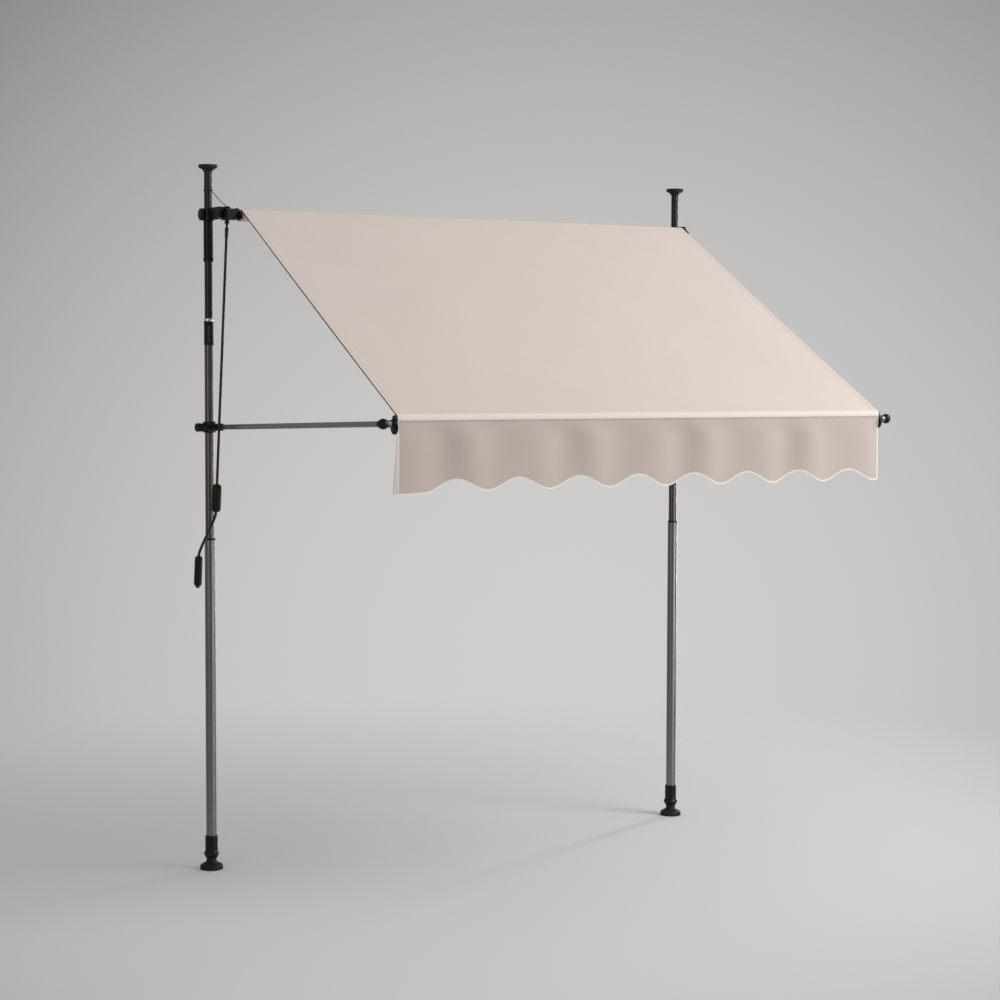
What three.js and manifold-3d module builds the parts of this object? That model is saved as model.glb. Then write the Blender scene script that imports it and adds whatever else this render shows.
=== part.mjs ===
// Clamp awning: two telescopic posts jammed between floor and ceiling carry a roller, a canvas canopy
// with a scalloped valance, two drop arms with a front bar, and a hand crank.
// Millimetres, +Z up. The origin is on the floor, midway between the posts. -Y is forward, away from
// the facade, and the left post stands at -X.
import * as THREE from 'three';
import { mergeVertices } from 'three/addons/utils/BufferGeometryUtils.js';
import Module from 'manifold-3d';

const wasm = await Module();
wasm.setup();

// Driving sizes of the whole awning
const POST_HEIGHT = 2700;
const CLOTH_WIDTH = 1990;
const CLOTH_INWARD = 70;
const ROLLER_FORWARD = 146;
const ROLLER_DROP = 197;
const ARM_PIVOT_HEIGHT = 1706;
const ARM_PIVOT_FORWARD = 40;
const ARM_END_HEIGHT = 1749;
const ARM_END_FORWARD = 1443;
const BAR_RISE = 17;

// Running clearance between pieces that touch or slide
const GAP = 0.3;

// Post tubes, as outer radius, wall and ends
const LOWER_TUBE_R = 20;
const MID_TUBE_R = 16.6;
const UPPER_TUBE_R = 15;
const TUBE_WALL = 1.2;
const LOWER_TUBE_BOTTOM = 70;
const LOWER_TUBE_TOP = 1274;
const MID_TUBE_LENGTH = 1220;
const UPPER_STAGE = 600;
const UPPER_TUBE_INSERT = 150;

// Bush in the mouth of the lower tube
const BUSH_FLANGE = 6;
const BUSH_DEPTH = 60;

// Foot: a fluted sleeve turns on a spindle that is moulded into a rubber pad
const PAD_R = 44;
const PAD_RIM = 15;
const PAD_NECK_R = 19.5;
const PAD_NECK_TOP = 50;
const FOOT_TRAVEL = 9;
const SLEEVE_BOTTOM = 45;
const SLEEVE_TOP = 131;
const SLEEVE_WALL = 3.4;
const SLEEVE_FLARE_R = 29.5;
const SLEEVE_FLARE_HEIGHT = 62;
const SLEEVE_RIBS = 14;
const SLEEVE_RIB_DEPTH = 1.2;
const SPINDLE_R = 8;
const SPINDLE_SEAT = 20;
const SPINDLE_TOP = 150;

// Telescope collar, its slot, its screw and the polished ring on it
const COLLAR_WALL = 1.6;
const COLLAR_LENGTH = 81;
const COLLAR_LIP = 8;
const COLLAR_SLOT = 6;
const COLLAR_SLOT_END = 6;
const COLLAR_SLOT_TURN = 20;
const COLLAR_SCREW_R = 4;
const COLLAR_SCREW_HEAD_R = 6.5;
const COLLAR_SCREW_HEAD = 4;
const RING_HEIGHT = 11;
const RING_WALL = 2.8;

// Ceiling pad
const CEILING_PAD_R = 36;
const CEILING_PAD_DISC = 12;
const CEILING_PAD_HEIGHT = 26;
const CEILING_SOCKET = 13;
const CEILING_PAD_WALL = 2.2;

// Roller, its cloth roll and its end caps with their axles
const ROLLER_R = 21;
const CLOTH_ROLL_R = 24;
const CLOTH_THICK = 2.4;
const CAP_FLANGE = 3.4;
const CAP_SPIGOT = 24;
const PIN_R = 6;

// Roller brackets, closed by a cheek plate: the left one has a gear housing, the right one a plain arm
const BRACKET_HEIGHT = 45;
const BRACKET_RING_WALL = 6.7;
const BRACKET_ARM_WIDTH = 28;
const BRACKET_ARM_HEIGHT = 26;
const BRACKET_ARM_DROP = 4;
const BRACKET_WALL = 3;
const CHEEK_THICK = 5;
const CHEEK_INNER = 62;
const CHEEK_REAR = 106;
const CHEEK_LIP = 3;
const CHEEK_NOSE = 46;
const HOUSING_WIDTH = 46;
const HOUSING_RISE = 24;
const PLAIN_ARM_THICK = 12;
const PLAIN_ARM_BRIDGE = 12;
const SUPPORT_SLEEVE_WALL = 2.7;
const SUPPORT_SLEEVE_LENGTH = 155;
const SUPPORT_RIM = 1.5;
const SUPPORT_RIM_HEIGHT = 13;

// Worm gear and the ball joint under it that carries the crank
const WHEEL_R = 12;
const WHEEL_TEETH = 22;
const WHEEL_TOOTH = 1.6;
const WHEEL_THICK = 12;
const WORM_R = 9;
const WORM_THREADS = 5;
const WORM_THREAD_DEPTH = 1.8;
const JOURNAL_R = 5;
const GEAR_INWARD = 25;
const BALL_R = 6.5;
const BALL_DROP = 31;
const CUP_WALL = 2;
const STEM_R = 4;
const STEM_END = 30;

// Crank: a leaning rod, an upper grip, a cranked neck and a handle grip
const CRANK_LEAN = 2.65;
const ROD_R = 5.2;
const SOCKET_START = 15;
const SOCKET_END = 48;
const SOCKET_WALL = 2.4;
const UPPER_GRIP_START = 979;
const UPPER_GRIP_LENGTH = 106;
const UPPER_GRIP_R = 18;
const NECK_DROP = 160;
const HANDLE_OFFSET = 62;
const HANDLE_GRIP_R = 14.8;
const HANDLE_GRIP_LENGTH = 114;
const ROD_BUTTON_R = 8;
const ROD_BUTTON = 5;

// Arm clamp, pivot and ribbed knob
const CLAMP_HEIGHT = 42;
const CLAMP_WALL = 6.7;
const LUG_R = 17;
const LUG_OUTER = -16;
const LUG_INNER = 7.2;
const BOLT_R = 5;
const BOLT_HEAD_R = 8.5;
const BOLT_HEAD = 5;
const KNOB_NECK = 15;
const KNOB_NECK_R = 9;
const KNOB_LENGTH = 39;
const KNOB_R = 15;
const KNOB_RIBS = 8;
const KNOB_RIB_DEPTH = 1.6;
const KNOB_BORE = 34;

// Arms and their end fittings
const ARM_INWARD = 24;
const ARM_TUBE_R = 10;
const EYE_R = 14;
const SOCKET_R = 12.8;
const ARM_SOCKET = 36;
const ARM_SOCKET_FLOOR = 17;
const ELBOW_R = 18;
const ELBOW_FLAT = 11.7;
const ELBOW_BOSS = 26;
const ELBOW_FLOOR = 10;
const END_PIN_R = 4;
const SPACER_R = 12.5;
const SPACER_LENGTH = 14;

// Front bar, its end caps and the cloth pocket round it
const BAR_R = 11.5;
const BAR_OVERHANG = 2;
const BAR_SPIGOT = 28;
const END_FLANGE_R = 24;
const END_FLANGE_DROP = 11;
const END_FLANGE = 5.4;
const BELL_R = 20;
const BELL_TIP_R = 12;
const POCKET_WALL = 1.4;

// Valance: scallops and soft folds
const VALANCE_THICK = 2.2;
const SCALLOP_PITCH = 234;
const SCALLOP_RISE = 42;
const FIRST_CREST = 215;
const FOLD_DEPTH = 11;
const VALANCE_DROP = 235;

// Stay wire between the upper tube and the gear housing
const STAY_R = 1.5;
const STAY_EYE_RISE = 101;
const STAY_EYE_R = 4.5;
const STAY_FOOT_FORWARD = 142;

// Bracket knob that locks the roller bracket on its tube
const LOCK_KNOB_R = 23;
const LOCK_KNOB_LENGTH = 10;
const LOCK_KNOB_HUB_R = 10;
const LOCK_KNOB_HUB = 2;
const LOCK_SCREW_R = 4;

// Sizes worked out from those above
const POST_X = CLOTH_WIDTH / 2 + CLOTH_INWARD;
const ROLLER_HEIGHT = POST_HEIGHT - ROLLER_DROP;
const MID_TUBE_TOP = POST_HEIGHT - UPPER_STAGE;
const MID_TUBE_BOTTOM = MID_TUBE_TOP - MID_TUBE_LENGTH;
const UPPER_TUBE_BOTTOM = MID_TUBE_TOP - UPPER_TUBE_INSERT;
const BRACKET_TOP = ROLLER_HEIGHT + BRACKET_HEIGHT / 2 + 9;
const BRACKET_BOTTOM = BRACKET_TOP - BRACKET_HEIGHT;
const BAR_HEIGHT = ARM_END_HEIGHT + BAR_RISE;
const BAR_INWARD = CLOTH_INWARD - BAR_OVERHANG;
const POCKET_IN = BAR_R + GAP;
const POCKET_R = POCKET_IN + POCKET_WALL;
const CHEEK_OUTER = CHEEK_INNER - CHEEK_THICK;
const SEGMENTS = 20;

// Materials, one for each finish
function finish(color, roughness, metalness) {
  return new THREE.MeshStandardMaterial({ color, roughness, metalness });
}
const STEEL = finish(0x8f9096, 0.32, 0.95);
const DARK_TUBE = finish(0x4a463f, 0.38, 0.7);
const BLACK_TUBE = finish(0x262523, 0.42, 0.5);
const BLACK_PLASTIC = finish(0x1f1f1e, 0.5, 0.0);
const RUBBER = finish(0x272726, 0.8, 0.0);
const POLISHED = finish(0xd8d8d8, 0.15, 1.0);
const ALUMINIUM = finish(0xa2a3a4, 0.35, 0.9);
const CANVAS = finish(0xd3c7bb, 0.9, 0.0);
const BRASS = finish(0xa88a4a, 0.35, 0.9);

// A closed, merged, outward-facing geometry from any closed geometry
function closed(geometry) {
  const bare = geometry.index ? geometry.toNonIndexed() : geometry.clone();
  for (const name of Object.keys(bare.attributes)) {
    if (name !== 'position') {
      bare.deleteAttribute(name);
    }
  }
  const merged = mergeVertices(bare, 1e-4);
  const index = merged.index.array;
  const at = merged.attributes.position;
  const kept = [];
  let volume = 0;
  const [a, b, c] = [new THREE.Vector3(), new THREE.Vector3(), new THREE.Vector3()];
  for (let i = 0; i < index.length; i += 3) {
    const [p, q, r] = [index[i], index[i + 1], index[i + 2]];
    if (p === q || q === r || r === p) {
      continue;
    }
    a.fromBufferAttribute(at, p);
    b.fromBufferAttribute(at, q);
    c.fromBufferAttribute(at, r);
    volume += a.dot(b.cross(c));
    kept.push(p, q, r);
  }
  if (volume < 0) {
    for (let i = 0; i < kept.length; i += 3) {
      [kept[i + 1], kept[i + 2]] = [kept[i + 2], kept[i + 1]];
    }
  }
  merged.setIndex(kept);
  return merged;
}

// A solid that manifold-3d can join and cut, and the way back to a geometry
function solid(geometry) {
  const g = closed(geometry);
  return new wasm.Manifold(new wasm.Mesh({
    numProp: 3,
    vertProperties: new Float32Array(g.attributes.position.array),
    triVerts: new Uint32Array(g.index.array),
  }));
}

function fromSolid(body) {
  const mesh = body.getMesh();
  const geometry = new THREE.BufferGeometry();
  const count = mesh.vertProperties.length / mesh.numProp;
  const points = new Float32Array(count * 3);
  for (let i = 0; i < count; i += 1) {
    for (let k = 0; k < 3; k += 1) {
      points[3 * i + k] = mesh.vertProperties[mesh.numProp * i + k];
    }
  }
  geometry.setAttribute('position', new THREE.BufferAttribute(points, 3));
  geometry.setIndex(Array.from(mesh.triVerts));
  return geometry;
}

// The union of the first list with the second list cut away
function carve(added, cut = []) {
  let body = solid(added[0]);
  for (const g of added.slice(1)) {
    body = body.add(solid(g));
  }
  for (const g of cut) {
    body = body.subtract(solid(g));
  }
  return fromSolid(body);
}

// Turned shapes about +Z: the profile is a list of [radius, height]
function turned(profile, segments = SEGMENTS) {
  const g = new THREE.LatheGeometry(profile.map(([r, z]) => new THREE.Vector2(r, z)), segments);
  g.rotateX(Math.PI / 2);
  return closed(g);
}

function rod(radius, z0, z1, segments = SEGMENTS) {
  return turned([[0, z0], [radius, z0], [radius, z1], [0, z1]], segments);
}

function pipe(outer, inner, z0, z1, segments = SEGMENTS) {
  return turned([[inner, z0], [outer, z0], [outer, z1], [inner, z1], [inner, z0]], segments);
}

// Turns a shape made about +Z so that its axis lies along +X, or along -Y
function alongX(geometry) {
  return geometry.clone().rotateY(Math.PI / 2);
}

function forward(geometry) {
  return geometry.clone().rotateX(Math.PI / 2);
}

function moved(geometry, x, y, z) {
  return geometry.clone().translate(x, y, z);
}

function box(x0, x1, y0, y1, z0, z1) {
  return moved(new THREE.BoxGeometry(x1 - x0, y1 - y0, z1 - z0), (x0 + x1) / 2, (y0 + y1) / 2, (z0 + z1) / 2);
}

// Pushes the skin of a turned shape in between its ribs, over one stretch of its height
function ribbed(geometry, ribs, depth, z0, z1, inside = 0) {
  const at = geometry.attributes.position;
  for (let i = 0; i < at.count; i += 1) {
    const [x, y, z] = [at.getX(i), at.getY(i), at.getZ(i)];
    const r = Math.hypot(x, y);
    if (z > z0 && z < z1 && r > inside) {
      const wave = (1 - Math.cos(ribs * Math.atan2(y, x))) / 2;
      const k = (r - depth * wave) / r;
      at.setXY(i, x * k, y * k);
    }
  }
  return geometry;
}

// An outline in the forward-and-up plane, [forward, height], thickened along X from x0 to x1
function sidePlate(outline, x0, x1) {
  const shape = new THREE.Shape(outline.map(([s, z]) => new THREE.Vector2(s, z)));
  const g = new THREE.ExtrudeGeometry(shape, { depth: x1 - x0, bevelEnabled: false });
  const at = g.attributes.position;
  for (let i = 0; i < at.count; i += 1) {
    at.setXYZ(i, x0 + at.getZ(i), -at.getX(i), at.getY(i));
  }
  return closed(g);
}

// Scene graph: both posts are built in a frame whose origin is the foot of the post and whose +X
// points inward, to the other post; the right one is the mirror image of the left one
const awning = new THREE.Group();
awning.name = 'clamp_awning';
const leftPost = new THREE.Group();
const rightPost = new THREE.Group();
leftPost.position.set(-POST_X, 0, 0);
rightPost.position.set(POST_X, 0, 0);
awning.add(leftPost, rightPost);

const armAngle = Math.atan2(ARM_END_HEIGHT - ARM_PIVOT_HEIGHT, ARM_END_FORWARD - ARM_PIVOT_FORWARD);
const armLength = Math.hypot(ARM_END_HEIGHT - ARM_PIVOT_HEIGHT, ARM_END_FORWARD - ARM_PIVOT_FORWARD);

function armFrame(post) {
  const g = new THREE.Group();
  g.position.set(0, -ARM_PIVOT_FORWARD, ARM_PIVOT_HEIGHT);
  g.rotation.x = -armAngle;
  post.add(g);
  return g;
}
const leftArm = armFrame(leftPost);
const rightArm = armFrame(rightPost);

function mirrored(geometry) {
  const g = geometry.clone();
  g.scale(-1, 1, 1);
  return closed(g);
}

function add(parent, name, geometry, material, place = [0, 0, 0]) {
  const g = closed(geometry);
  g.computeVertexNormals();
  const mesh = new THREE.Mesh(g, material);
  mesh.name = name;
  mesh.position.set(...place);
  parent.add(mesh);
}

function pair(name, geometry, material, [x, y, z] = [0, 0, 0], parents = [leftPost, rightPost]) {
  add(parents[0], `left_${name}`, geometry, material, [x, y, z]);
  add(parents[1], `right_${name}`, mirrored(geometry), material, [-x, y, z]);
}

// Feet
const padProfile = [
  [0, 0], [PAD_R, 0], [PAD_R, PAD_RIM], [PAD_R - 4, PAD_RIM + 4.5], [PAD_R - 13, PAD_RIM + 9],
  [PAD_NECK_R + 2.5, PAD_RIM + 13], [PAD_NECK_R, PAD_RIM + 18], [PAD_NECK_R, PAD_NECK_TOP],
  [SPINDLE_R + GAP, PAD_NECK_TOP], [SPINDLE_R + GAP, SPINDLE_SEAT], [0, SPINDLE_SEAT],
];
pair('foot_pad', turned(padProfile, 28), RUBBER);
pair('foot_spindle', rod(SPINDLE_R, SPINDLE_SEAT + GAP, SPINDLE_TOP, 16), STEEL);

const sleeveR = LOWER_TUBE_R + GAP + SLEEVE_WALL;
const sleeveWeb = PAD_NECK_TOP + FOOT_TRAVEL + 1;
const sleeveProfile = [
  [PAD_NECK_R + GAP, SLEEVE_BOTTOM], [PAD_NECK_R + 3, SLEEVE_BOTTOM],
  [SLEEVE_FLARE_R - 1.5, SLEEVE_FLARE_HEIGHT - 4], [SLEEVE_FLARE_R, SLEEVE_FLARE_HEIGHT],
  [SLEEVE_FLARE_R - 1.5, SLEEVE_FLARE_HEIGHT + 4], [sleeveR, SLEEVE_FLARE_HEIGHT + 11],
  [sleeveR, SLEEVE_TOP - 3], [sleeveR - 0.8, SLEEVE_TOP], [LOWER_TUBE_R + GAP, SLEEVE_TOP],
  [LOWER_TUBE_R + GAP, LOWER_TUBE_BOTTOM - GAP], [SPINDLE_R + GAP, LOWER_TUBE_BOTTOM - GAP],
  [SPINDLE_R + GAP, sleeveWeb], [PAD_NECK_R + GAP, sleeveWeb], [PAD_NECK_R + GAP, SLEEVE_BOTTOM],
];
const sleeve = ribbed(turned(sleeveProfile, 2 * SLEEVE_RIBS), SLEEVE_RIBS, SLEEVE_RIB_DEPTH,
  SLEEVE_FLARE_HEIGHT + 10, SLEEVE_TOP - 1, LOWER_TUBE_R + 1.5);
pair('foot_sleeve', sleeve, BLACK_PLASTIC);

// Telescopic tubes and what joins them
pair('lower_tube', pipe(LOWER_TUBE_R, LOWER_TUBE_R - TUBE_WALL, LOWER_TUBE_BOTTOM, LOWER_TUBE_TOP), STEEL);
const bushIn = MID_TUBE_R + GAP;
const bushOut = LOWER_TUBE_R - TUBE_WALL - GAP;
const bushSeat = LOWER_TUBE_TOP + GAP;
pair('tube_bush', turned([
  [bushIn, LOWER_TUBE_TOP - BUSH_DEPTH], [bushOut, LOWER_TUBE_TOP - BUSH_DEPTH], [bushOut, bushSeat],
  [LOWER_TUBE_R, bushSeat], [LOWER_TUBE_R - 1, bushSeat + BUSH_FLANGE], [bushIn, bushSeat + BUSH_FLANGE],
  [bushIn, LOWER_TUBE_TOP - BUSH_DEPTH],
]), BLACK_PLASTIC);
pair('mid_tube', pipe(MID_TUBE_R, MID_TUBE_R - TUBE_WALL, MID_TUBE_BOTTOM, MID_TUBE_TOP), DARK_TUBE);

const collarR = MID_TUBE_R + GAP + COLLAR_WALL;
const collarBottom = MID_TUBE_TOP - COLLAR_LENGTH;
const collarTop = MID_TUBE_TOP + COLLAR_LIP;
const collarRing = turned([
  [MID_TUBE_R + GAP, collarBottom], [collarR, collarBottom], [collarR, collarTop],
  [UPPER_TUBE_R + GAP, collarTop], [UPPER_TUBE_R + GAP, MID_TUBE_TOP + GAP],
  [MID_TUBE_R + GAP, MID_TUBE_TOP + GAP], [MID_TUBE_R + GAP, collarBottom],
]);
const slot = box(-COLLAR_SLOT / 2, COLLAR_SLOT / 2, -2 * collarR, 0,
  collarBottom + COLLAR_SLOT_END, MID_TUBE_TOP - COLLAR_SLOT_END).rotateZ(-THREE.MathUtils.degToRad(COLLAR_SLOT_TURN));
const screwHeight = (collarBottom + MID_TUBE_TOP) / 2;
const screwHole = moved(forward(rod(COLLAR_SCREW_R + GAP, -2 * collarR, 0, 12)), 0, 0, screwHeight);
pair('telescope_collar', carve([collarRing], [slot, screwHole]), BLACK_PLASTIC);
const collarScrew = carve([
  forward(rod(COLLAR_SCREW_R, -(collarR + GAP + 1), -(MID_TUBE_R + GAP), 12)),
  forward(rod(COLLAR_SCREW_HEAD_R, -(collarR + GAP + COLLAR_SCREW_HEAD), -(collarR + GAP), 12)),
]);
pair('collar_screw', collarScrew, STEEL, [0, 0, screwHeight]);
pair('collar_ring', pipe(UPPER_TUBE_R + RING_WALL, UPPER_TUBE_R + GAP,
  collarTop + GAP, collarTop + RING_HEIGHT), POLISHED);

const upperTubeTop = POST_HEIGHT - CEILING_PAD_HEIGHT + CEILING_SOCKET;
pair('upper_tube', pipe(UPPER_TUBE_R, UPPER_TUBE_R - TUBE_WALL, UPPER_TUBE_BOTTOM, upperTubeTop - GAP), BLACK_TUBE);
const discBottom = POST_HEIGHT - CEILING_PAD_DISC;
const ceilingBottom = POST_HEIGHT - CEILING_PAD_HEIGHT;
pair('ceiling_pad', turned([
  [UPPER_TUBE_R + GAP, ceilingBottom], [UPPER_TUBE_R + CEILING_PAD_WALL, ceilingBottom],
  [UPPER_TUBE_R + CEILING_PAD_WALL + 2, ceilingBottom + 5], [CEILING_PAD_R - 11, discBottom - 5],
  [CEILING_PAD_R - 4, discBottom - 1.5], [CEILING_PAD_R - 1, discBottom], [CEILING_PAD_R, discBottom + 2],
  [CEILING_PAD_R, POST_HEIGHT],
  [0, POST_HEIGHT], [0, upperTubeTop], [UPPER_TUBE_R + GAP, upperTubeTop],
  [UPPER_TUBE_R + GAP, ceilingBottom],
], 28), RUBBER);

// Roller brackets
const supportTop = BRACKET_BOTTOM - GAP;
const supportBottom = supportTop - SUPPORT_SLEEVE_LENGTH;
const supportR = UPPER_TUBE_R + GAP + SUPPORT_SLEEVE_WALL;
pair('support_sleeve', turned([
  [UPPER_TUBE_R + GAP, supportBottom], [supportR + SUPPORT_RIM, supportBottom],
  [supportR + SUPPORT_RIM, supportBottom + SUPPORT_RIM_HEIGHT],
  [supportR, supportBottom + SUPPORT_RIM_HEIGHT + 3], [supportR, supportTop],
  [UPPER_TUBE_R + GAP, supportTop], [UPPER_TUBE_R + GAP, supportBottom],
]), BLACK_PLASTIC);

// The cloth leaves the roll and meets the front bar along their common upper tangent
const BAR_TOP_R = POCKET_R + GAP + CLOTH_THICK;
const run = [ARM_END_FORWARD - ROLLER_FORWARD, BAR_HEIGHT - ROLLER_HEIGHT];
const runLength = Math.hypot(...run);
const along = run.map((v) => v / runLength);
const lean = (CLOTH_ROLL_R - BAR_TOP_R) / runLength;
const upright = Math.sqrt(1 - lean * lean);
const clothNormal = [along[0] * lean - along[1] * upright, along[1] * lean + along[0] * upright];

// Outline of the cheek and the housing: a block whose front upper corner is cut parallel to the cloth
function noseOutline(rear, nose, bottom, top, reach) {
  const cutTop = ROLLER_FORWARD + (reach - (top - ROLLER_HEIGHT) * clothNormal[1]) / clothNormal[0];
  const cutNose = ROLLER_HEIGHT + (reach - nose * clothNormal[0]) / clothNormal[1];
  return [[rear, bottom], [ROLLER_FORWARD + nose - 5, bottom], [ROLLER_FORWARD + nose, bottom + 5],
    [ROLLER_FORWARD + nose, cutNose], [cutTop, top], [rear, top]];
}
const housingBottom = ROLLER_HEIGHT - WHEEL_R - BRACKET_WALL - 2;
const housingTop = ROLLER_HEIGHT + HOUSING_RISE;
const housingOuter = CHEEK_OUTER - GAP - HOUSING_WIDTH;
const housingNose = WHEEL_R + BRACKET_WALL + 2;
const reach = CLOTH_ROLL_R;
const cheekOutline = noseOutline(CHEEK_REAR, CHEEK_NOSE, housingBottom, housingTop + CHEEK_LIP, reach);
const housingOutline = noseOutline(CHEEK_REAR, housingNose, housingBottom, housingTop, reach - 0.5);
const cavityOutline = noseOutline(CHEEK_REAR + BRACKET_WALL, housingNose - BRACKET_WALL,
  housingBottom + BRACKET_WALL, housingTop - BRACKET_WALL, reach - BRACKET_WALL);
const wormForward = ROLLER_FORWARD - WHEEL_R - WORM_R - GAP;
const lockHeight = (BRACKET_TOP + BRACKET_BOTTOM) / 2;
const bracketR = UPPER_TUBE_R + GAP + BRACKET_RING_WALL;
const armTop = BRACKET_TOP - BRACKET_ARM_DROP;
const armBottom = armTop - BRACKET_ARM_HEIGHT;
const bracketCuts = [
  rod(UPPER_TUBE_R + GAP, BRACKET_BOTTOM - 10, BRACKET_TOP + 10),
  moved(alongX(rod(LOCK_SCREW_R + GAP, -2 * bracketR, 0, 12)), 0, 0, lockHeight),
];
add(leftPost, 'left_roller_bracket', carve([
  rod(bracketR, BRACKET_BOTTOM, BRACKET_TOP),
  box(-BRACKET_ARM_WIDTH / 4, BRACKET_ARM_WIDTH * 0.75, -(CHEEK_REAR + BRACKET_WALL - 0.5), 0, armBottom, armTop),
  sidePlate(housingOutline, housingOuter, CHEEK_OUTER - GAP),
], [
  ...bracketCuts,
  sidePlate(cavityOutline, housingOuter + BRACKET_WALL, CHEEK_OUTER + 10),
  moved(rod(JOURNAL_R + GAP, housingBottom - 5, ROLLER_HEIGHT - WHEEL_R, 14), GEAR_INWARD, -wormForward, 0),
]), BLACK_PLASTIC);
const plainArmOuter = CHEEK_OUTER - GAP - PLAIN_ARM_THICK;
const plainArmNose = PIN_R + 8;
const pinHole = moved(alongX(rod(PIN_R + GAP, plainArmOuter - 5, CHEEK_INNER + 5, 14)), 0, -ROLLER_FORWARD, ROLLER_HEIGHT);
add(rightPost, 'right_roller_bracket', mirrored(carve([
  rod(bracketR, BRACKET_BOTTOM, BRACKET_TOP),
  box(0, CHEEK_OUTER - GAP, -PLAIN_ARM_BRIDGE, PLAIN_ARM_BRIDGE, armBottom, armTop),
  sidePlate([
    [-PLAIN_ARM_BRIDGE, armBottom], [ROLLER_FORWARD - 2 * plainArmNose, armBottom],
    [ROLLER_FORWARD - plainArmNose / 2, ROLLER_HEIGHT - plainArmNose],
    [ROLLER_FORWARD + plainArmNose / 2, ROLLER_HEIGHT - plainArmNose],
    [ROLLER_FORWARD + plainArmNose, ROLLER_HEIGHT - plainArmNose / 2],
    [ROLLER_FORWARD + plainArmNose, ROLLER_HEIGHT + 2], [ROLLER_FORWARD, armTop], [-PLAIN_ARM_BRIDGE, armTop],
  ], plainArmOuter, CHEEK_OUTER - GAP),
], [...bracketCuts, pinHole])), BLACK_PLASTIC);
pair('cheek_plate', carve([sidePlate(cheekOutline, CHEEK_OUTER, CHEEK_INNER)], [pinHole]), BLACK_TUBE);

// Bracket knob with its clamping screw, turned about X
const lockFace = bracketR + GAP;
const lockKnob = ribbed(turned([
  [0, UPPER_TUBE_R + GAP], [LOCK_SCREW_R, UPPER_TUBE_R + GAP], [LOCK_SCREW_R, lockFace],
  [LOCK_KNOB_HUB_R, lockFace], [LOCK_KNOB_HUB_R, lockFace + LOCK_KNOB_HUB],
  [LOCK_KNOB_R - 1, lockFace + LOCK_KNOB_HUB], [LOCK_KNOB_R, lockFace + LOCK_KNOB_HUB + 1.5],
  [LOCK_KNOB_R, lockFace + LOCK_KNOB_HUB + LOCK_KNOB_LENGTH - 2],
  [LOCK_KNOB_R - 2.5, lockFace + LOCK_KNOB_HUB + LOCK_KNOB_LENGTH], [0, lockFace + LOCK_KNOB_HUB + LOCK_KNOB_LENGTH],
], 30), 10, KNOB_RIB_DEPTH, lockFace + LOCK_KNOB_HUB - 1, lockFace + 100, LOCK_KNOB_HUB_R + 2);
pair('bracket_knob', alongX(lockKnob).rotateY(Math.PI), BLACK_PLASTIC, [0, 0, lockHeight]);

// Roller with its end caps
const rollerHalf = POST_X - CHEEK_INNER - CAP_FLANGE - 2 * GAP;
add(awning, 'roller_tube', alongX(pipe(ROLLER_R, ROLLER_R - TUBE_WALL, -rollerHalf, rollerHalf)), ALUMINIUM,
  [0, -ROLLER_FORWARD, ROLLER_HEIGHT]);
const capFace = CHEEK_INNER + GAP;
const capSpigotR = ROLLER_R - TUBE_WALL - GAP;
function rollerCap(axleStart) {
  return alongX(turned([
    [0, axleStart], [PIN_R, axleStart], [PIN_R, capFace], [ROLLER_R + 1, capFace],
    [ROLLER_R + 1, capFace + CAP_FLANGE], [capSpigotR, capFace + CAP_FLANGE],
    [capSpigotR, capFace + CAP_FLANGE + CAP_SPIGOT], [0, capFace + CAP_FLANGE + CAP_SPIGOT],
  ]));
}
const rollerAxis = [0, -ROLLER_FORWARD, ROLLER_HEIGHT];
add(leftPost, 'left_roller_cap', rollerCap(GEAR_INWARD - WHEEL_THICK / 2 - 1.5), STEEL, rollerAxis);
add(rightPost, 'right_roller_cap', mirrored(rollerCap(plainArmOuter - 3)), STEEL, rollerAxis);

// Worm gear in the left housing
const toothed = new THREE.Shape();
for (let i = 0; i < 2 * WHEEL_TEETH; i += 1) {
  const r = i % 2 ? WHEEL_R - WHEEL_TOOTH : WHEEL_R;
  const a = (i * Math.PI) / WHEEL_TEETH;
  toothed[i ? 'lineTo' : 'moveTo'](r * Math.cos(a), r * Math.sin(a));
}
const wheelBlank = new THREE.ExtrudeGeometry(toothed, { depth: WHEEL_THICK, bevelEnabled: false });
const wheel = carve([moved(wheelBlank, 0, 0, -WHEEL_THICK / 2)], [rod(PIN_R + GAP, -WHEEL_THICK, WHEEL_THICK, 14)]);
add(leftPost, 'worm_wheel', alongX(wheel), BRASS, [GEAR_INWARD, -ROLLER_FORWARD, ROLLER_HEIGHT]);

const ballHeight = ROLLER_HEIGHT - BALL_DROP;
const cupR = BALL_R + 2 * GAP;
const wormBottom = housingBottom + BRACKET_WALL + 1;
const wormTop = housingTop - BRACKET_WALL - 1;
const wormProfile = [];
for (let i = 0; i <= 4; i += 1) {
  const a = Math.PI / 2 - (i * Math.PI) / 8;
  wormProfile.push([i ? cupR * Math.cos(a) : 0, ballHeight + cupR * Math.sin(a)]);
}
wormProfile.push([cupR + CUP_WALL, ballHeight], [cupR + CUP_WALL, ballHeight + cupR + 1],
  [JOURNAL_R, ballHeight + cupR + 4], [JOURNAL_R, wormBottom]);
const threadPitch = (wormTop - wormBottom) / WORM_THREADS;
for (let i = 0; i < WORM_THREADS; i += 1) {
  const z = wormBottom + i * threadPitch;
  wormProfile.push([WORM_R - WORM_THREAD_DEPTH, z], [WORM_R, z + threadPitch * 0.35], [WORM_R, z + threadPitch * 0.65]);
}
wormProfile.push([WORM_R - WORM_THREAD_DEPTH, wormTop], [0, wormTop]);
add(leftPost, 'worm_shaft', turned(wormProfile, 16), STEEL, [GEAR_INWARD, -wormForward, 0]);

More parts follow.
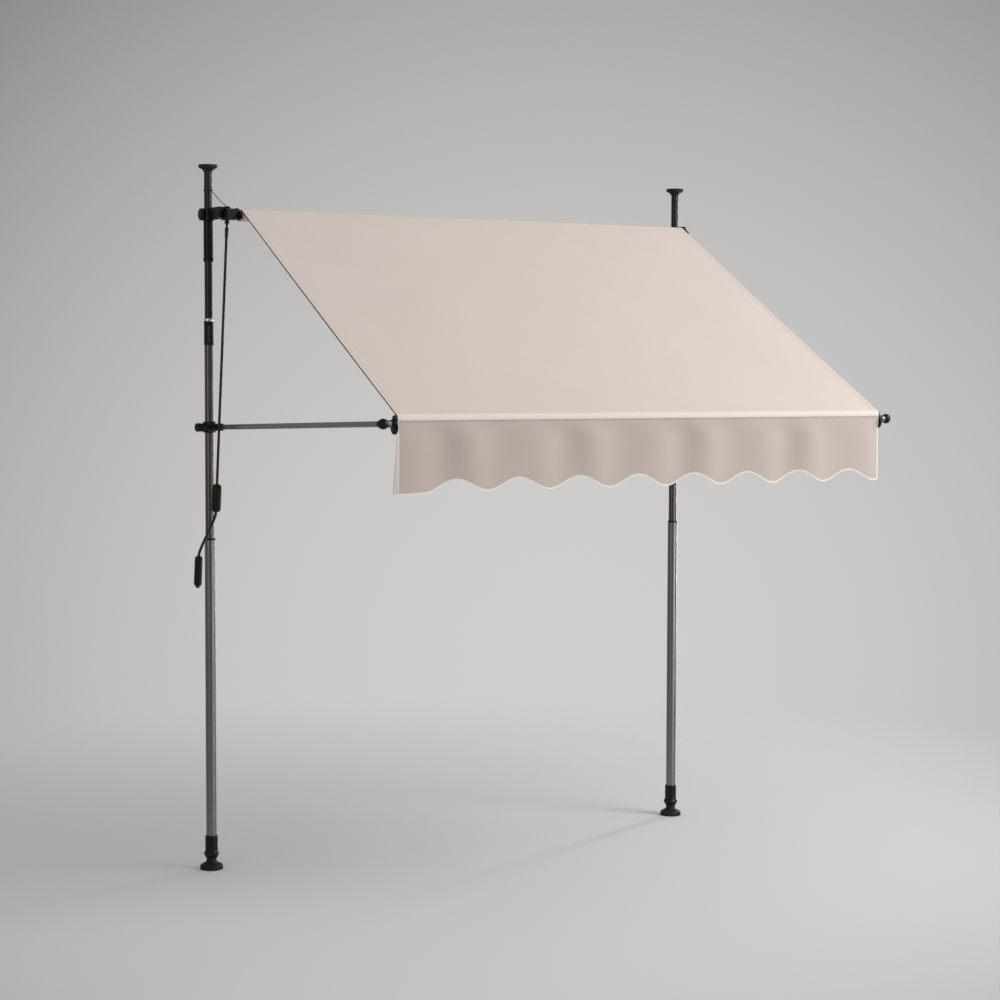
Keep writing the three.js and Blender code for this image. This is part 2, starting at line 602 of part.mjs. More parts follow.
// Crank, in a frame at the ball joint whose -Z runs down the leaning rod
const crank = new THREE.Group();
crank.position.set(GEAR_INWARD, -wormForward, ballHeight);
crank.rotation.y = THREE.MathUtils.degToRad(CRANK_LEAN);
leftPost.add(crank);
const ballStem = carve([new THREE.SphereGeometry(BALL_R, 16, 10), rod(STEM_R, -STEM_END, 0, 14)]);
add(crank, 'crank_joint', ballStem, STEEL);

const neckStart = UPPER_GRIP_START + UPPER_GRIP_LENGTH + 6;
const handleStart = neckStart + NECK_DROP;
const handleEnd = handleStart + HANDLE_GRIP_LENGTH + 3 * GAP;
const straight = turned([
  [0, 2 - neckStart], [ROD_R, 2 - neckStart], [ROD_R, -(SOCKET_END + 6)],
  [STEM_R + GAP + SOCKET_WALL, -SOCKET_END], [STEM_R + GAP + SOCKET_WALL, -SOCKET_START],
  [STEM_R + GAP, -SOCKET_START], [STEM_R + GAP, -(STEM_END + GAP)], [0, -(STEM_END + GAP)],
], 14);
const neckPath = new THREE.CatmullRomCurve3([
  new THREE.Vector3(0, 0, 4 - neckStart),
  new THREE.Vector3(0, 0, -neckStart),
  new THREE.Vector3(-HANDLE_OFFSET * 0.12, 0, -(neckStart + NECK_DROP * 0.14)),
  new THREE.Vector3(-HANDLE_OFFSET * 0.5, 0, -(neckStart + NECK_DROP * 0.48)),
  new THREE.Vector3(-HANDLE_OFFSET * 0.91, 0, -(neckStart + NECK_DROP * 0.84)),
  new THREE.Vector3(-HANDLE_OFFSET, 0, 6 - handleStart),
  new THREE.Vector3(-HANDLE_OFFSET, 0, 2 - handleStart),
], false, 'centripetal');
const rodSection = new THREE.Shape();
rodSection.absarc(0, 0, ROD_R - 0.1, 0, 2 * Math.PI, false);
const neck = new THREE.ExtrudeGeometry(rodSection, { steps: 34, curveSegments: 10, extrudePath: neckPath, bevelEnabled: false });
const handleRod = moved(turned([
  [0, -(handleEnd + ROD_BUTTON)], [ROD_BUTTON_R, -(handleEnd + ROD_BUTTON)], [ROD_BUTTON_R, -handleEnd],
  [ROD_R, -handleEnd], [ROD_R, 4 - handleStart], [0, 4 - handleStart],
], 14), -HANDLE_OFFSET, 0, 0);
add(crank, 'crank_rod', carve([straight, neck, handleRod]), STEEL);
add(crank, 'crank_upper_grip', turned([
  [ROD_R + GAP, -UPPER_GRIP_LENGTH], [UPPER_GRIP_R - 3, -UPPER_GRIP_LENGTH], [UPPER_GRIP_R, 4 - UPPER_GRIP_LENGTH],
  [UPPER_GRIP_R, -5], [UPPER_GRIP_R - 4, 0], [ROD_R + GAP, 0], [ROD_R + GAP, -UPPER_GRIP_LENGTH],
], 18), BLACK_PLASTIC, [0, 0, -UPPER_GRIP_START]);
add(crank, 'crank_handle_grip', turned([
  [ROD_R + GAP, -HANDLE_GRIP_LENGTH], [HANDLE_GRIP_R - 2, -HANDLE_GRIP_LENGTH],
  [HANDLE_GRIP_R, 3 - HANDLE_GRIP_LENGTH], [HANDLE_GRIP_R, -4], [HANDLE_GRIP_R - 3, 0],
  [ROD_R + GAP, 0], [ROD_R + GAP, -HANDLE_GRIP_LENGTH],
], 18), BLACK_PLASTIC, [-HANDLE_OFFSET, 0, -handleStart]);

// Stay wire from an eyelet on the left upper tube to the top of the gear housing
const stayTop = new THREE.Vector3(0, -(UPPER_TUBE_R + GAP + STAY_EYE_R), ROLLER_HEIGHT + STAY_EYE_RISE);
add(leftPost, 'stay_eyelet', new THREE.SphereGeometry(STAY_EYE_R, 12, 8), STEEL, stayTop.toArray());
const stayFoot = new THREE.Vector3(GEAR_INWARD, -STAY_FOOT_FORWARD, housingTop + GAP + STAY_R);
const stayRun = stayFoot.clone().sub(stayTop);
const stay = new THREE.Group();
stay.position.copy(stayTop);
stay.quaternion.setFromUnitVectors(new THREE.Vector3(0, 0, 1), stayRun.clone().normalize());
leftPost.add(stay);
add(stay, 'stay_wire', rod(STAY_R, STAY_EYE_R + GAP, stayRun.length(), 8), STEEL);

// Arm clamps, pivot bolts and knobs
const clampR = MID_TUBE_R + GAP + CLAMP_WALL;
const clampBottom = ARM_PIVOT_HEIGHT - CLAMP_HEIGHT / 2;
const clampTop = ARM_PIVOT_HEIGHT + CLAMP_HEIGHT / 2;
pair('arm_clamp', carve([
  rod(clampR, clampBottom, clampTop),
  moved(alongX(rod(LUG_R, LUG_OUTER, LUG_INNER)), 0, -ARM_PIVOT_FORWARD, ARM_PIVOT_HEIGHT),
  box(LUG_OUTER + 1, LUG_INNER - 1, -ARM_PIVOT_FORWARD, 0, clampBottom + 7, clampTop - 7),
], [
  rod(MID_TUBE_R + GAP, clampBottom - 10, clampTop + 10),
  moved(alongX(rod(BOLT_R + GAP, -100, 100, 14)), 0, -ARM_PIVOT_FORWARD, ARM_PIVOT_HEIGHT),
]), BLACK_PLASTIC);

const knobFace = -LUG_OUTER + GAP;
const knobEnd = knobFace + KNOB_NECK + KNOB_LENGTH;
const armKnob = ribbed(turned([
  [BOLT_R + GAP, knobFace], [KNOB_NECK_R, knobFace], [KNOB_NECK_R, knobFace + KNOB_NECK],
  [KNOB_R - 1.5, knobFace + KNOB_NECK], [KNOB_R, knobFace + KNOB_NECK + 3], [KNOB_R - 1, knobEnd - 4],
  [KNOB_R - 4, knobEnd], [0, knobEnd], [0, knobFace + KNOB_BORE], [BOLT_R + GAP, knobFace + KNOB_BORE],
  [BOLT_R + GAP, knobFace],
], 3 * KNOB_RIBS), KNOB_RIBS, KNOB_RIB_DEPTH, knobFace + KNOB_NECK - 1, knobEnd + 1, KNOB_NECK_R + 1);
pair('arm_knob', alongX(armKnob).rotateY(Math.PI), BLACK_PLASTIC, [0, -ARM_PIVOT_FORWARD, ARM_PIVOT_HEIGHT]);
const boltHead = ARM_INWARD + SOCKET_R + GAP;
pair('pivot_bolt', alongX(turned([
  [0, -(knobFace + KNOB_BORE - GAP)], [BOLT_R, -(knobFace + KNOB_BORE - GAP)], [BOLT_R, boltHead],
  [BOLT_HEAD_R, boltHead], [BOLT_HEAD_R, boltHead + BOLT_HEAD], [0, boltHead + BOLT_HEAD],
], 14)), STEEL, [0, -ARM_PIVOT_FORWARD, ARM_PIVOT_HEIGHT]);

// Arms, in the arm frame: -Y runs out along the arm, X is still inward from the post
const arms = [leftArm, rightArm];
const eyeStart = LUG_INNER + GAP;
pair('arm_root', carve([
  alongX(rod(EYE_R, eyeStart, ARM_INWARD + SOCKET_R)),
  moved(forward(rod(SOCKET_R, 0, ARM_SOCKET)), ARM_INWARD, 0, 0),
], [
  alongX(rod(BOLT_R + GAP, -100, 100, 14)),
  moved(forward(rod(ARM_TUBE_R + GAP, ARM_SOCKET_FLOOR, ARM_SOCKET + 10)), ARM_INWARD, 0, 0),
]), BLACK_PLASTIC, [0, 0, 0], arms);
const armTubeEnd = armLength - ELBOW_FLOOR - GAP;
pair('arm_tube', forward(pipe(ARM_TUBE_R, ARM_TUBE_R - TUBE_WALL, ARM_SOCKET_FLOOR + GAP, armTubeEnd)), DARK_TUBE,
  [ARM_INWARD, 0, 0], arms);
const elbowBall = new THREE.SphereGeometry(ELBOW_R, 20, 14).rotateZ(Math.PI / 2);
pair('arm_elbow', carve([elbowBall, forward(rod(SOCKET_R, -ELBOW_BOSS, 0))], [
  box(ELBOW_FLAT, 2 * ELBOW_R, -30, 30, -30, 30),
  forward(rod(ARM_TUBE_R + GAP, -60, -ELBOW_FLOOR)),
  alongX(rod(END_PIN_R + GAP, -10, 30, 14)),
]), BLACK_PLASTIC, [ARM_INWARD, -armLength, 0], arms);

// Front bar, its end caps and spacers, level whatever the arms do
const pinAxis = [0, -ARM_END_FORWARD, ARM_END_HEIGHT];
const barHalf = POST_X - BAR_INWARD;
add(awning, 'front_bar', alongX(pipe(BAR_R, BAR_R - TUBE_WALL, -barHalf, barHalf)), ALUMINIUM,
  [0, -ARM_END_FORWARD, BAR_HEIGHT]);
const spacerStart = ARM_INWARD + ELBOW_FLAT + GAP;
const bellStart = spacerStart + SPACER_LENGTH + GAP;
const flangeEnd = BAR_INWARD - GAP;
const flangeStart = flangeEnd - END_FLANGE;
pair('end_spacer', alongX(pipe(SPACER_R, END_PIN_R + GAP, spacerStart, spacerStart + SPACER_LENGTH)), ALUMINIUM, pinAxis);
const endPinStart = ARM_INWARD - 9;
pair('bar_end_cap', carve([
  alongX(turned([
    [0, endPinStart], [END_PIN_R, endPinStart], [END_PIN_R, bellStart],
    [BELL_TIP_R, bellStart], [BELL_TIP_R + 3, bellStart + 5], [BELL_R, flangeStart], [BELL_R, flangeEnd],
    [0, flangeEnd],
  ], 24)),
  moved(alongX(turned([
    [0, flangeStart - 1], [END_FLANGE_R - 3, flangeStart - 1], [END_FLANGE_R, flangeStart + 1],
    [END_FLANGE_R, flangeEnd], [0, flangeEnd],
  ], 24)), 0, 0, -END_FLANGE_DROP),
  moved(alongX(rod(BAR_R, flangeStart, flangeEnd)), 0, 0, BAR_RISE),
  moved(alongX(rod(BAR_R - TUBE_WALL - GAP, flangeEnd - 1, flangeEnd + BAR_SPIGOT)), 0, 0, BAR_RISE),
]), BLACK_PLASTIC, pinAxis);

// Canopy: the turns of cloth on the roller and the taut sheet down to the front bar
const rollRing = alongX(pipe(CLOTH_ROLL_R, ROLLER_R + GAP, -CLOTH_WIDTH / 2, CLOTH_WIDTH / 2, 32));
const sheetStart = [CLOTH_ROLL_R * clothNormal[0], CLOTH_ROLL_R * clothNormal[1]];
const sheetEnd = [run[0] + BAR_TOP_R * clothNormal[0], run[1] + BAR_TOP_R * clothNormal[1]];
const under = [-CLOTH_THICK * clothNormal[0], -CLOTH_THICK * clothNormal[1]];
const sheet = sidePlate([
  sheetStart, [sheetStart[0] + under[0], sheetStart[1] + under[1]],
  [sheetEnd[0] + under[0], sheetEnd[1] + under[1]], sheetEnd,
], -CLOTH_WIDTH / 2, CLOTH_WIDTH / 2);
add(awning, 'canopy', carve([rollRing, sheet]), CANVAS, [0, -ROLLER_FORWARD, ROLLER_HEIGHT]);

// Valance: a pocket round the bar and a hanging strip with soft folds and a scalloped lower edge
function scallop(x) {
  const fromEdge = x + CLOTH_WIDTH / 2;
  const phase = (fromEdge - FIRST_CREST) / SCALLOP_PITCH;
  return phase < -0.5 ? 0 : (SCALLOP_RISE * (1 + Math.cos(2 * Math.PI * phase))) / 2;
}

function foldAt(x) {
  const u = (2 * Math.PI * (x + CLOTH_WIDTH / 2)) / SCALLOP_PITCH;
  return Math.sin(0.93 * u + 0.4) + 0.45 * Math.sin(1.7 * u + 1.9);
}

function valanceStrip() {
  const columns = Math.round(CLOTH_WIDTH / (SCALLOP_PITCH / 8));
  const rows = 4;
  const points = [];
  for (let side = 0; side < 2; side += 1) {
    for (let i = 0; i <= columns; i += 1) {
      const x = -CLOTH_WIDTH / 2 + (CLOTH_WIDTH * i) / columns;
      const top = -(POCKET_IN + POCKET_WALL / 2);
      const bottom = -VALANCE_DROP + scallop(x);
      for (let j = 0; j <= rows; j += 1) {
        const t = j / rows;
        const y = -FOLD_DEPTH * t * foldAt(x) * 0.7 + (side ? 0.5 : -0.5) * VALANCE_THICK;
        points.push([x, y, top + (bottom - top) * t]);
      }
    }
  }
  const at = (side, i, j) => points[(side * (columns + 1) + i) * (rows + 1) + j];
  const triangles = [];
  const quad = (a, b, c, d) => triangles.push(a, b, c, a, c, d);
  for (let i = 0; i < columns; i += 1) {
    for (let j = 0; j < rows; j += 1) {
      quad(at(0, i, j), at(0, i, j + 1), at(0, i + 1, j + 1), at(0, i + 1, j));
      quad(at(1, i, j), at(1, i + 1, j), at(1, i + 1, j + 1), at(1, i, j + 1));
    }
    quad(at(0, i, 0), at(0, i + 1, 0), at(1, i + 1, 0), at(1, i, 0));
    quad(at(0, i, rows), at(1, i, rows), at(1, i + 1, rows), at(0, i + 1, rows));
  }
  for (let j = 0; j < rows; j += 1) {
    quad(at(0, 0, j), at(1, 0, j), at(1, 0, j + 1), at(0, 0, j + 1));
    quad(at(0, columns, j), at(0, columns, j + 1), at(1, columns, j + 1), at(1, columns, j));
  }
  const geometry = new THREE.BufferGeometry();
  geometry.setAttribute('position', new THREE.BufferAttribute(new Float32Array(triangles.flat()), 3));
  return geometry;
}
const pocket = alongX(pipe(POCKET_R, POCKET_IN, -CLOTH_WIDTH / 2, CLOTH_WIDTH / 2, 24));
add(awning, 'valance', carve([pocket, valanceStrip()]), CANVAS, [0, -ARM_END_FORWARD, BAR_HEIGHT]);

export default awning;
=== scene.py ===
# %% [markdown]
# # A clamp awning with a canvas canopy
#
# The awning stands on two telescopic posts that are jammed between floor and ceiling. A roller near
# the top carries the canvas, two drop arms hold its front bar, and a crank winds it in. The packed
# CAD model gives every piece its place. This lesson makes each tube, moulding and cloth again in a
# finer shape, gives it a finish, and lets it ride on the body that moves it.

# %% Load the frame
import math

import bmesh
import bpy
from mathutils import Matrix, Vector


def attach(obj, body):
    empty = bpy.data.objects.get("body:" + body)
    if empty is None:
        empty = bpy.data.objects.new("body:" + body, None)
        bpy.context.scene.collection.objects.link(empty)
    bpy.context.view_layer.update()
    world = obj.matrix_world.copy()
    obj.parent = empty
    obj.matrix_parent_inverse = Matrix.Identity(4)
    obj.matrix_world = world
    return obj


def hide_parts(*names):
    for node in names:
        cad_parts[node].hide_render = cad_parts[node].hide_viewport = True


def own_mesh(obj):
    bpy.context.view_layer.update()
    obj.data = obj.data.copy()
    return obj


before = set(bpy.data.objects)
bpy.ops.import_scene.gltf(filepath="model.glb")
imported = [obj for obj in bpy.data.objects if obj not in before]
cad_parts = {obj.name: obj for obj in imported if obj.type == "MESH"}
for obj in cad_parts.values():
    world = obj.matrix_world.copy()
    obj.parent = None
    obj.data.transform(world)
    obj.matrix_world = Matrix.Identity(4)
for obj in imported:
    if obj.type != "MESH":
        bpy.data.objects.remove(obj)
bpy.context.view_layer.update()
mm = 0.001

# %% [markdown]
# ## Small tools
#
# These few functions serve from the floor to the last finish. They put an object into the scene, add
# a shader node whose inputs take a value or a link, and start a material.

# %% Objects and nodes
def placed(name, data):
    """Make an object from its data and put it into the scene."""
    thing = bpy.data.objects.new(name, data)
    bpy.context.scene.collection.objects.link(thing)
    return thing


def feed(tree, value, socket):
    """Link another node's output to a socket, or set the socket's own value."""
    if isinstance(value, bpy.types.NodeSocket):
        tree.links.new(value, socket)
    else:
        socket.default_value = value


def add_node(tree, kind, inputs=None, **settings):
    """Add a shader node with its settings, and feed its inputs."""
    node = tree.nodes.new("ShaderNode" + kind)
    for name, value in settings.items():
        setattr(node, name, value)
    for socket, value in (inputs or {}).items():
        feed(tree, value, node.inputs[socket])
    return node


def colors_to(tree, factor, low, high, socket, start=0.3, end=0.7):
    """Blend two colours by a factor into a colour socket."""
    ramp = add_node(tree, "ValToRGB", {"Fac": factor})
    for element, position, color in zip(ramp.color_ramp.elements, (start, end), (low, high)):
        element.position = position
        element.color = (*color, 1)
    tree.links.new(ramp.outputs["Color"], socket)


def new_finish(name, color, roughness, metallic=0.0):
    """A material with one Principled shader, and the tools to wire it."""
    material = bpy.data.materials.new(name)
    material.use_nodes = True
    tree = material.node_tree
    shader = tree.nodes["Principled BSDF"]
    shader.inputs["Base Color"].default_value = (*color, 1)
    shader.inputs["Roughness"].default_value = roughness
    shader.inputs["Metallic"].default_value = metallic
    return material, tree, shader


# %% [markdown]
# ## Camera
#
# The photograph was taken from the front left, a little above head height. The lens and the place
# were worked out from the posts, the roller and the front bar, which are straight and level.

# %% Camera
CAMERA_PLACE = Vector((-4.1806, -7.7700, 1.9198))
CAMERA_YAW = 0.5144
CAMERA_PITCH = 0.0590
CAMERA_ROLL = 0.0025
CAMERA_LENS = 78.22
SENSOR_WIDTH = 36.0

camera_data = bpy.data.cameras.new("camera")
camera_data.lens = CAMERA_LENS
camera_data.sensor_width = SENSOR_WIDTH
camera_data.sensor_fit = "HORIZONTAL"
camera = placed("camera", camera_data)
to_view = Matrix.Rotation(-CAMERA_YAW, 4, "Z") @ Matrix.Rotation(math.pi / 2 - CAMERA_PITCH, 4, "X")
roll = Matrix.Rotation(CAMERA_ROLL, 4, "Z")
camera.matrix_world = Matrix.Translation(CAMERA_PLACE) @ to_view @ roll
bpy.context.scene.camera = camera
bpy.context.scene.view_settings.view_transform = "Standard"

# %% [markdown]
# ## Floor and light
#
# The photograph has a plain warm grey room that is brightest behind the awning and darker all round.
# Here the world shows that soft glow to the camera and to the reflections, and lights the object at
# its own strength. The floor is a plane that catches the shadows round the feet. Farther out it turns
# transparent, so the glow goes on below the horizon without a line.

# %% Floor
FLOOR_SIZE = 80.0
FLOOR_COLOR = (0.585, 0.57, 0.56)
FADE_START = 0.5
FADE_END = 4.2

shape = bmesh.new()
bmesh.ops.create_grid(shape, x_segments=1, y_segments=1, size=FLOOR_SIZE / 2)
floor_mesh = bpy.data.meshes.new("floor")
shape.to_mesh(floor_mesh)
shape.free()
floor = placed("floor", floor_mesh)

floor_finish, tree, floor_shader = new_finish("grey_floor", FLOOR_COLOR, 0.9)
where = add_node(tree, "TexCoord")
distance = add_node(tree, "VectorMath", {0: where.outputs["Object"]}, operation="LENGTH")
fade = add_node(tree, "MapRange", {"From Min": FADE_START, "From Max": FADE_END,
                                   "Value": distance.outputs["Value"]}, interpolation_type="SMOOTHSTEP")
open_air = add_node(tree, "BsdfTransparent")
blend = add_node(tree, "MixShader", {0: fade.outputs["Result"], 1: floor_shader.outputs[0],
                                     2: open_air.outputs[0]})
tree.links.new(blend.outputs[0], tree.nodes["Material Output"].inputs[0])
floor_mesh.materials.append(floor_finish)

# %% World and lamps
SKY_COLOR = (0.94, 0.96, 1.0, 1)
SKY_STRENGTH = 0.55
GLOW_COLOR = (0.635, 0.620, 0.605)
EDGE_COLOR = (0.275, 0.268, 0.260)
GLOW_WAY = (0.5160, 0.8464, -0.1330)
GLOW_REACH = 0.150

world = bpy.data.worlds.new("studio")
bpy.context.scene.world = world
world.use_nodes = True
tree = world.node_tree
ambient = tree.nodes["Background"]
ambient.inputs["Color"].default_value = SKY_COLOR
ambient.inputs["Strength"].default_value = SKY_STRENGTH
way = add_node(tree, "TexCoord")
off_way = add_node(tree, "VectorMath", {0: way.outputs["Generated"], 1: GLOW_WAY}, operation="SUBTRACT")
off = off_way.outputs["Vector"]
squared = add_node(tree, "VectorMath", {0: off, 1: off}, operation="DOT_PRODUCT")
glow = add_node(tree, "MapRange", {"From Max": GLOW_REACH, "Value": squared.outputs["Value"]})
backdrop = add_node(tree, "Background")
colors_to(tree, glow.outputs["Result"], GLOW_COLOR, EDGE_COLOR, backdrop.inputs["Color"], 0, 1)
ray = add_node(tree, "LightPath")
either = add_node(tree, "Math", {0: ray.outputs["Is Camera Ray"], 1: ray.outputs["Is Glossy Ray"]},
                  operation="MAXIMUM")
mix = add_node(tree, "MixShader", {0: either.outputs[0], 1: ambient.outputs[0], 2: backdrop.outputs[0]})
tree.links.new(mix.outputs[0], tree.nodes["World Output"].inputs[0])


def soft_lamp(name, place, target, size, power, color=(1, 1, 1)):
    """Add a rectangular area lamp that looks at a point."""
    data = bpy.data.lights.new(name, "AREA")
    data.shape = "RECTANGLE"
    data.size, data.size_y = size
    data.energy = power
    data.color = color
    away = Vector(place) - Vector(target)
    turn = away.to_track_quat("Z", "Y").to_matrix().to_4x4()
    placed(name, data).matrix_world = Matrix.Translation(place) @ turn


soft_lamp("daylight", (4.2, -5.0, 5.4), (0.4, -0.7, 1.6), (3.5, 3.5), 315, (1.0, 0.985, 0.96))
soft_lamp("fill", (-5.5, -3.0, 2.5), (0, -0.5, 1.5), (3.0, 3.0), 24)
soft_lamp("window_strip", (3.6, -3.4, 1.6), (-0.2, 0, 1.4), (0.5, 3.4), 45, (0.85, 0.92, 1.0))
soft_lamp("window_panel", (2.2, -5.4, 1.3), (-0.5, 0, 1.1), (2.6, 4.4), 40, (0.80, 0.86, 1.0))
soft_lamp("rim_strip", (5.6, 2.2, 1.7), (0, 0, 1.6), (0.5, 3.2), 110, (0.92, 0.96, 1.0))

# %% [markdown]
# ## Finishes
#
# Every finish starts from the Principled shader. Values that are the same all over are set on its own
# sockets. What varies, such as grain, brushing or weave, comes from procedural textures on Object
# coordinates, so it has its real size in metres.

# %% Finish helpers
def stretched_noise(tree, scale, stretch, detail=3.0, coordinates="Object"):
    """Noise whose grain is stretched by one factor along each axis."""
    source = add_node(tree, "TexCoord")
    mapping = add_node(tree, "Mapping", {"Scale": stretch, "Vector": source.outputs[coordinates]})
    noise = add_node(tree, "TexNoise", {"Scale": scale, "Detail": detail,
                                        "Vector": mapping.outputs["Vector"]})
    return noise.outputs["Fac"]


def ramp_to(tree, factor, low, high, socket, start=0.35, end=0.65):
    """Turn a 0 to 1 factor into a value between low and high on a shader socket."""
    spread = add_node(tree, "MapRange", {"From Min": start, "From Max": end, "To Min": low,
                                         "To Max": high, "Value": factor})
    tree.links.new(spread.outputs["Result"], socket)


def bump_from(tree, height, shader, strength, distance):
    """Feed a height into the shader's normal."""
    bump = add_node(tree, "Bump", {"Strength": strength, "Distance": distance, "Height": height})
    tree.links.new(bump.outputs["Normal"], shader.inputs["Normal"])


# %% [markdown]
# ### Metals
#
# The lower and middle tubes are brushed: fine streaks, hundreds of times longer than wide, vary
# colour and roughness, and the highlight is drawn out along the tube. The upper tubes are powder
# coated, which leaves a fine orange peel. Aluminium is softer, and zinc plating is mottled.

# %% Metals
def brushed(name, light, dark, roughness, stretch, spread=0.0):
    """Metal with long fine streaks. Spread draws its highlights out along an upright tube."""
    material, tree, shader = new_finish(name, light, roughness[0], 1.0)
    streaks = stretched_noise(tree, 1.0, stretch, 4.0)
    colors_to(tree, streaks, dark, light, shader.inputs["Base Color"])
    ramp_to(tree, streaks, roughness[1], roughness[0], shader.inputs["Roughness"])
    if spread:
        around = add_node(tree, "Tangent", direction_type="RADIAL", axis="Z")
        tree.links.new(around.outputs["Tangent"], shader.inputs["Tangent"])
        shader.inputs["Anisotropic"].default_value = spread
        shader.inputs["Anisotropic Rotation"].default_value = 0.25
    else:
        bump_from(tree, streaks, shader, 0.04, 0.05 * mm)
    return material


def coated(name, color, darker, roughness, metallic):
    """Powder coat: a fine orange peel with faint rubbed patches."""
    material, tree, shader = new_finish(name, color, roughness, metallic)
    peel = stretched_noise(tree, 1400.0, (1, 1, 1), 2.0)
    patches = stretched_noise(tree, 9.0, (1, 1, 0.3), 4.0)
    colors_to(tree, patches, darker, color, shader.inputs["Base Color"])
    ramp_to(tree, patches, roughness + 0.06, roughness - 0.05, shader.inputs["Roughness"])
    bump_from(tree, peel, shader, 0.12, 0.1 * mm)
    return material


ALONG_POST = (420, 420, 1.5)
ALONG_ARM = (900, 2.5, 900)
ALONG_BAR = (2.5, 900, 900)
TUBE_SPREAD = 0.7
steel_finish = brushed("brushed_steel", (0.24, 0.24, 0.245), (0.21, 0.21, 0.215), (0.24, 0.26),
                       ALONG_POST, TUBE_SPREAD)
dark_finish = brushed("dark_tube_metal", (0.140, 0.127, 0.112), (0.115, 0.104, 0.092), (0.21, 0.24),
                      ALONG_POST, TUBE_SPREAD)
arm_finish = brushed("arm_tube_metal", (0.37, 0.365, 0.35), (0.28, 0.275, 0.265), (0.20, 0.28),
                     ALONG_ARM)
bar_finish = brushed("bar_aluminium", (0.62, 0.62, 0.62), (0.48, 0.48, 0.49), (0.30, 0.42), ALONG_BAR)
spacer_finish = brushed("spacer_aluminium", (0.24, 0.25, 0.26), (0.16, 0.165, 0.17), (0.26, 0.4),
                        (600, 600, 600))
zinc_finish = brushed("zinc_plated", (0.40, 0.41, 0.43), (0.28, 0.29, 0.31), (0.28, 0.42),
                      (160, 160, 60))
brass_finish = brushed("gear_brass", (0.60, 0.44, 0.20), (0.48, 0.34, 0.15), (0.28, 0.4),
                       (300, 300, 300))
polished_finish = brushed("polished_ring", (0.84, 0.84, 0.85), (0.76, 0.76, 0.78), (0.06, 0.12),
                          (40, 40, 900))
black_finish = coated("black_tube_coat", (0.010, 0.0095, 0.009), (0.006, 0.0056, 0.0055), 0.30, 0.2)

# %% [markdown]
# ### Mouldings
#
# The black fittings are glass-filled nylon with a fine spark-eroded grain, and the pads are rubber:
# duller, with dust that has settled in patches. Cord and thread use the same recipe.

# %% Mouldings
def moulded(name, color, worn, roughness, grain, depth, shine=0.5):
    """A moulded plastic or rubber with a fine grain and slightly uneven gloss."""
    material, tree, shader = new_finish(name, color, roughness)
    shader.inputs["Specular IOR Level"].default_value = shine
    fine = stretched_noise(tree, grain, (1, 1, 1), 3.0)
    broad = stretched_noise(tree, 35.0, (1, 1, 1), 4.0)
    colors_to(tree, broad, color, worn, shader.inputs["Base Color"], 0.45, 0.8)
    ramp_to(tree, broad, roughness - 0.06, roughness + 0.08, shader.inputs["Roughness"])
    bump_from(tree, fine, shader, 0.25, depth * mm)
    return material


plastic_finish = moulded("black_nylon", (0.0045, 0.0045, 0.0045), (0.009, 0.009, 0.0088), 0.36,
                         1600, 0.15, 0.26)
rubber_finish = moulded("pad_rubber", (0.007, 0.007, 0.007), (0.016, 0.0155, 0.015), 0.55, 900, 0.2, 0.3)
# The welt cord's near-black colour is painted shade for the shaded underside of the canopy's side hems.
welt_painted_shade_finish = moulded("welt_cord_painted_shade", (0.045, 0.038, 0.033), (0.065, 0.056, 0.05), 0.8, 1200, 0.2)
thread_finish = moulded("sewing_thread", (0.56, 0.485, 0.425), (0.60, 0.52, 0.46), 0.8, 2000, 0.05)

# %% [markdown]
# ### Canvas
#
# Awning canvas is a plain weave of acrylic yarn, about eight yarns to the centimetre. The pattern
# follows the cloth's own UV map, which is in metres, so the yarns stay square and keep their size
# where the cloth bends. Two wave textures at right angles make the weave, and slow noise along each
# yarn direction gives the slubs that real cloth has.

# %% Canvas
YARN_PITCH = 1.25 * mm
SLUB_SHARE = 0.45


def canvas(name, color, darker):
    """Plain woven cloth on the piece's own UV map, whose unit is the metre."""
    material, tree, shader = new_finish(name, color, 0.88)
    shader.inputs["Sheen Weight"].default_value = 0.12
    shader.inputs["Sheen Roughness"].default_value = 0.5
    shader.inputs["Specular IOR Level"].default_value = 0.25
    source = add_node(tree, "TexCoord")
    yarns = {"Scale": math.pi / (10 * YARN_PITCH), "Distortion": 0.6, "Detail": 1.0,
             "Vector": source.outputs["UV"]}
    warp = add_node(tree, "TexWave", yarns, wave_type="BANDS", bands_direction="X")
    weft = add_node(tree, "TexWave", yarns, wave_type="BANDS", bands_direction="Y")
    weave = add_node(tree, "Math", {0: warp.outputs["Fac"], 1: weft.outputs["Fac"]},
                     operation="MULTIPLY")
    slubs = stretched_noise(tree, 1.0, (14, 420, 1), 3.0, "UV")
    clouds = stretched_noise(tree, 3.2, (1, 1, 1), 3.0, "UV")
    rest = add_node(tree, "Math", {0: clouds, 1: 1 - SLUB_SHARE}, operation="MULTIPLY")
    tone = add_node(tree, "Math", {0: slubs, 1: SLUB_SHARE, 2: rest.outputs[0]},
                    operation="MULTIPLY_ADD")
    colors_to(tree, tone.outputs[0], darker, color, shader.inputs["Base Color"])
    bump_from(tree, weave.outputs[0], shader, 0.35, 0.25 * mm)
    return material


canopy_finish = canvas("canopy_canvas", (0.640, 0.556, 0.496), (0.610, 0.525, 0.466))
valance_finish = canvas("valance_canvas", (0.478, 0.400, 0.350), (0.448, 0.372, 0.325))
# The hem band is the canopy canvas made lighter. The extra lightness is a painted highlight for the
# light on the bar's rounded top.
band_painted_highlight_finish = canvas("hem_band_painted_highlight_canvas", (0.700, 0.625, 0.563), (0.675, 0.600, 0.540))
binding_finish = canvas("binding_tape", (0.74, 0.69, 0.63), (0.68, 0.63, 0.57))

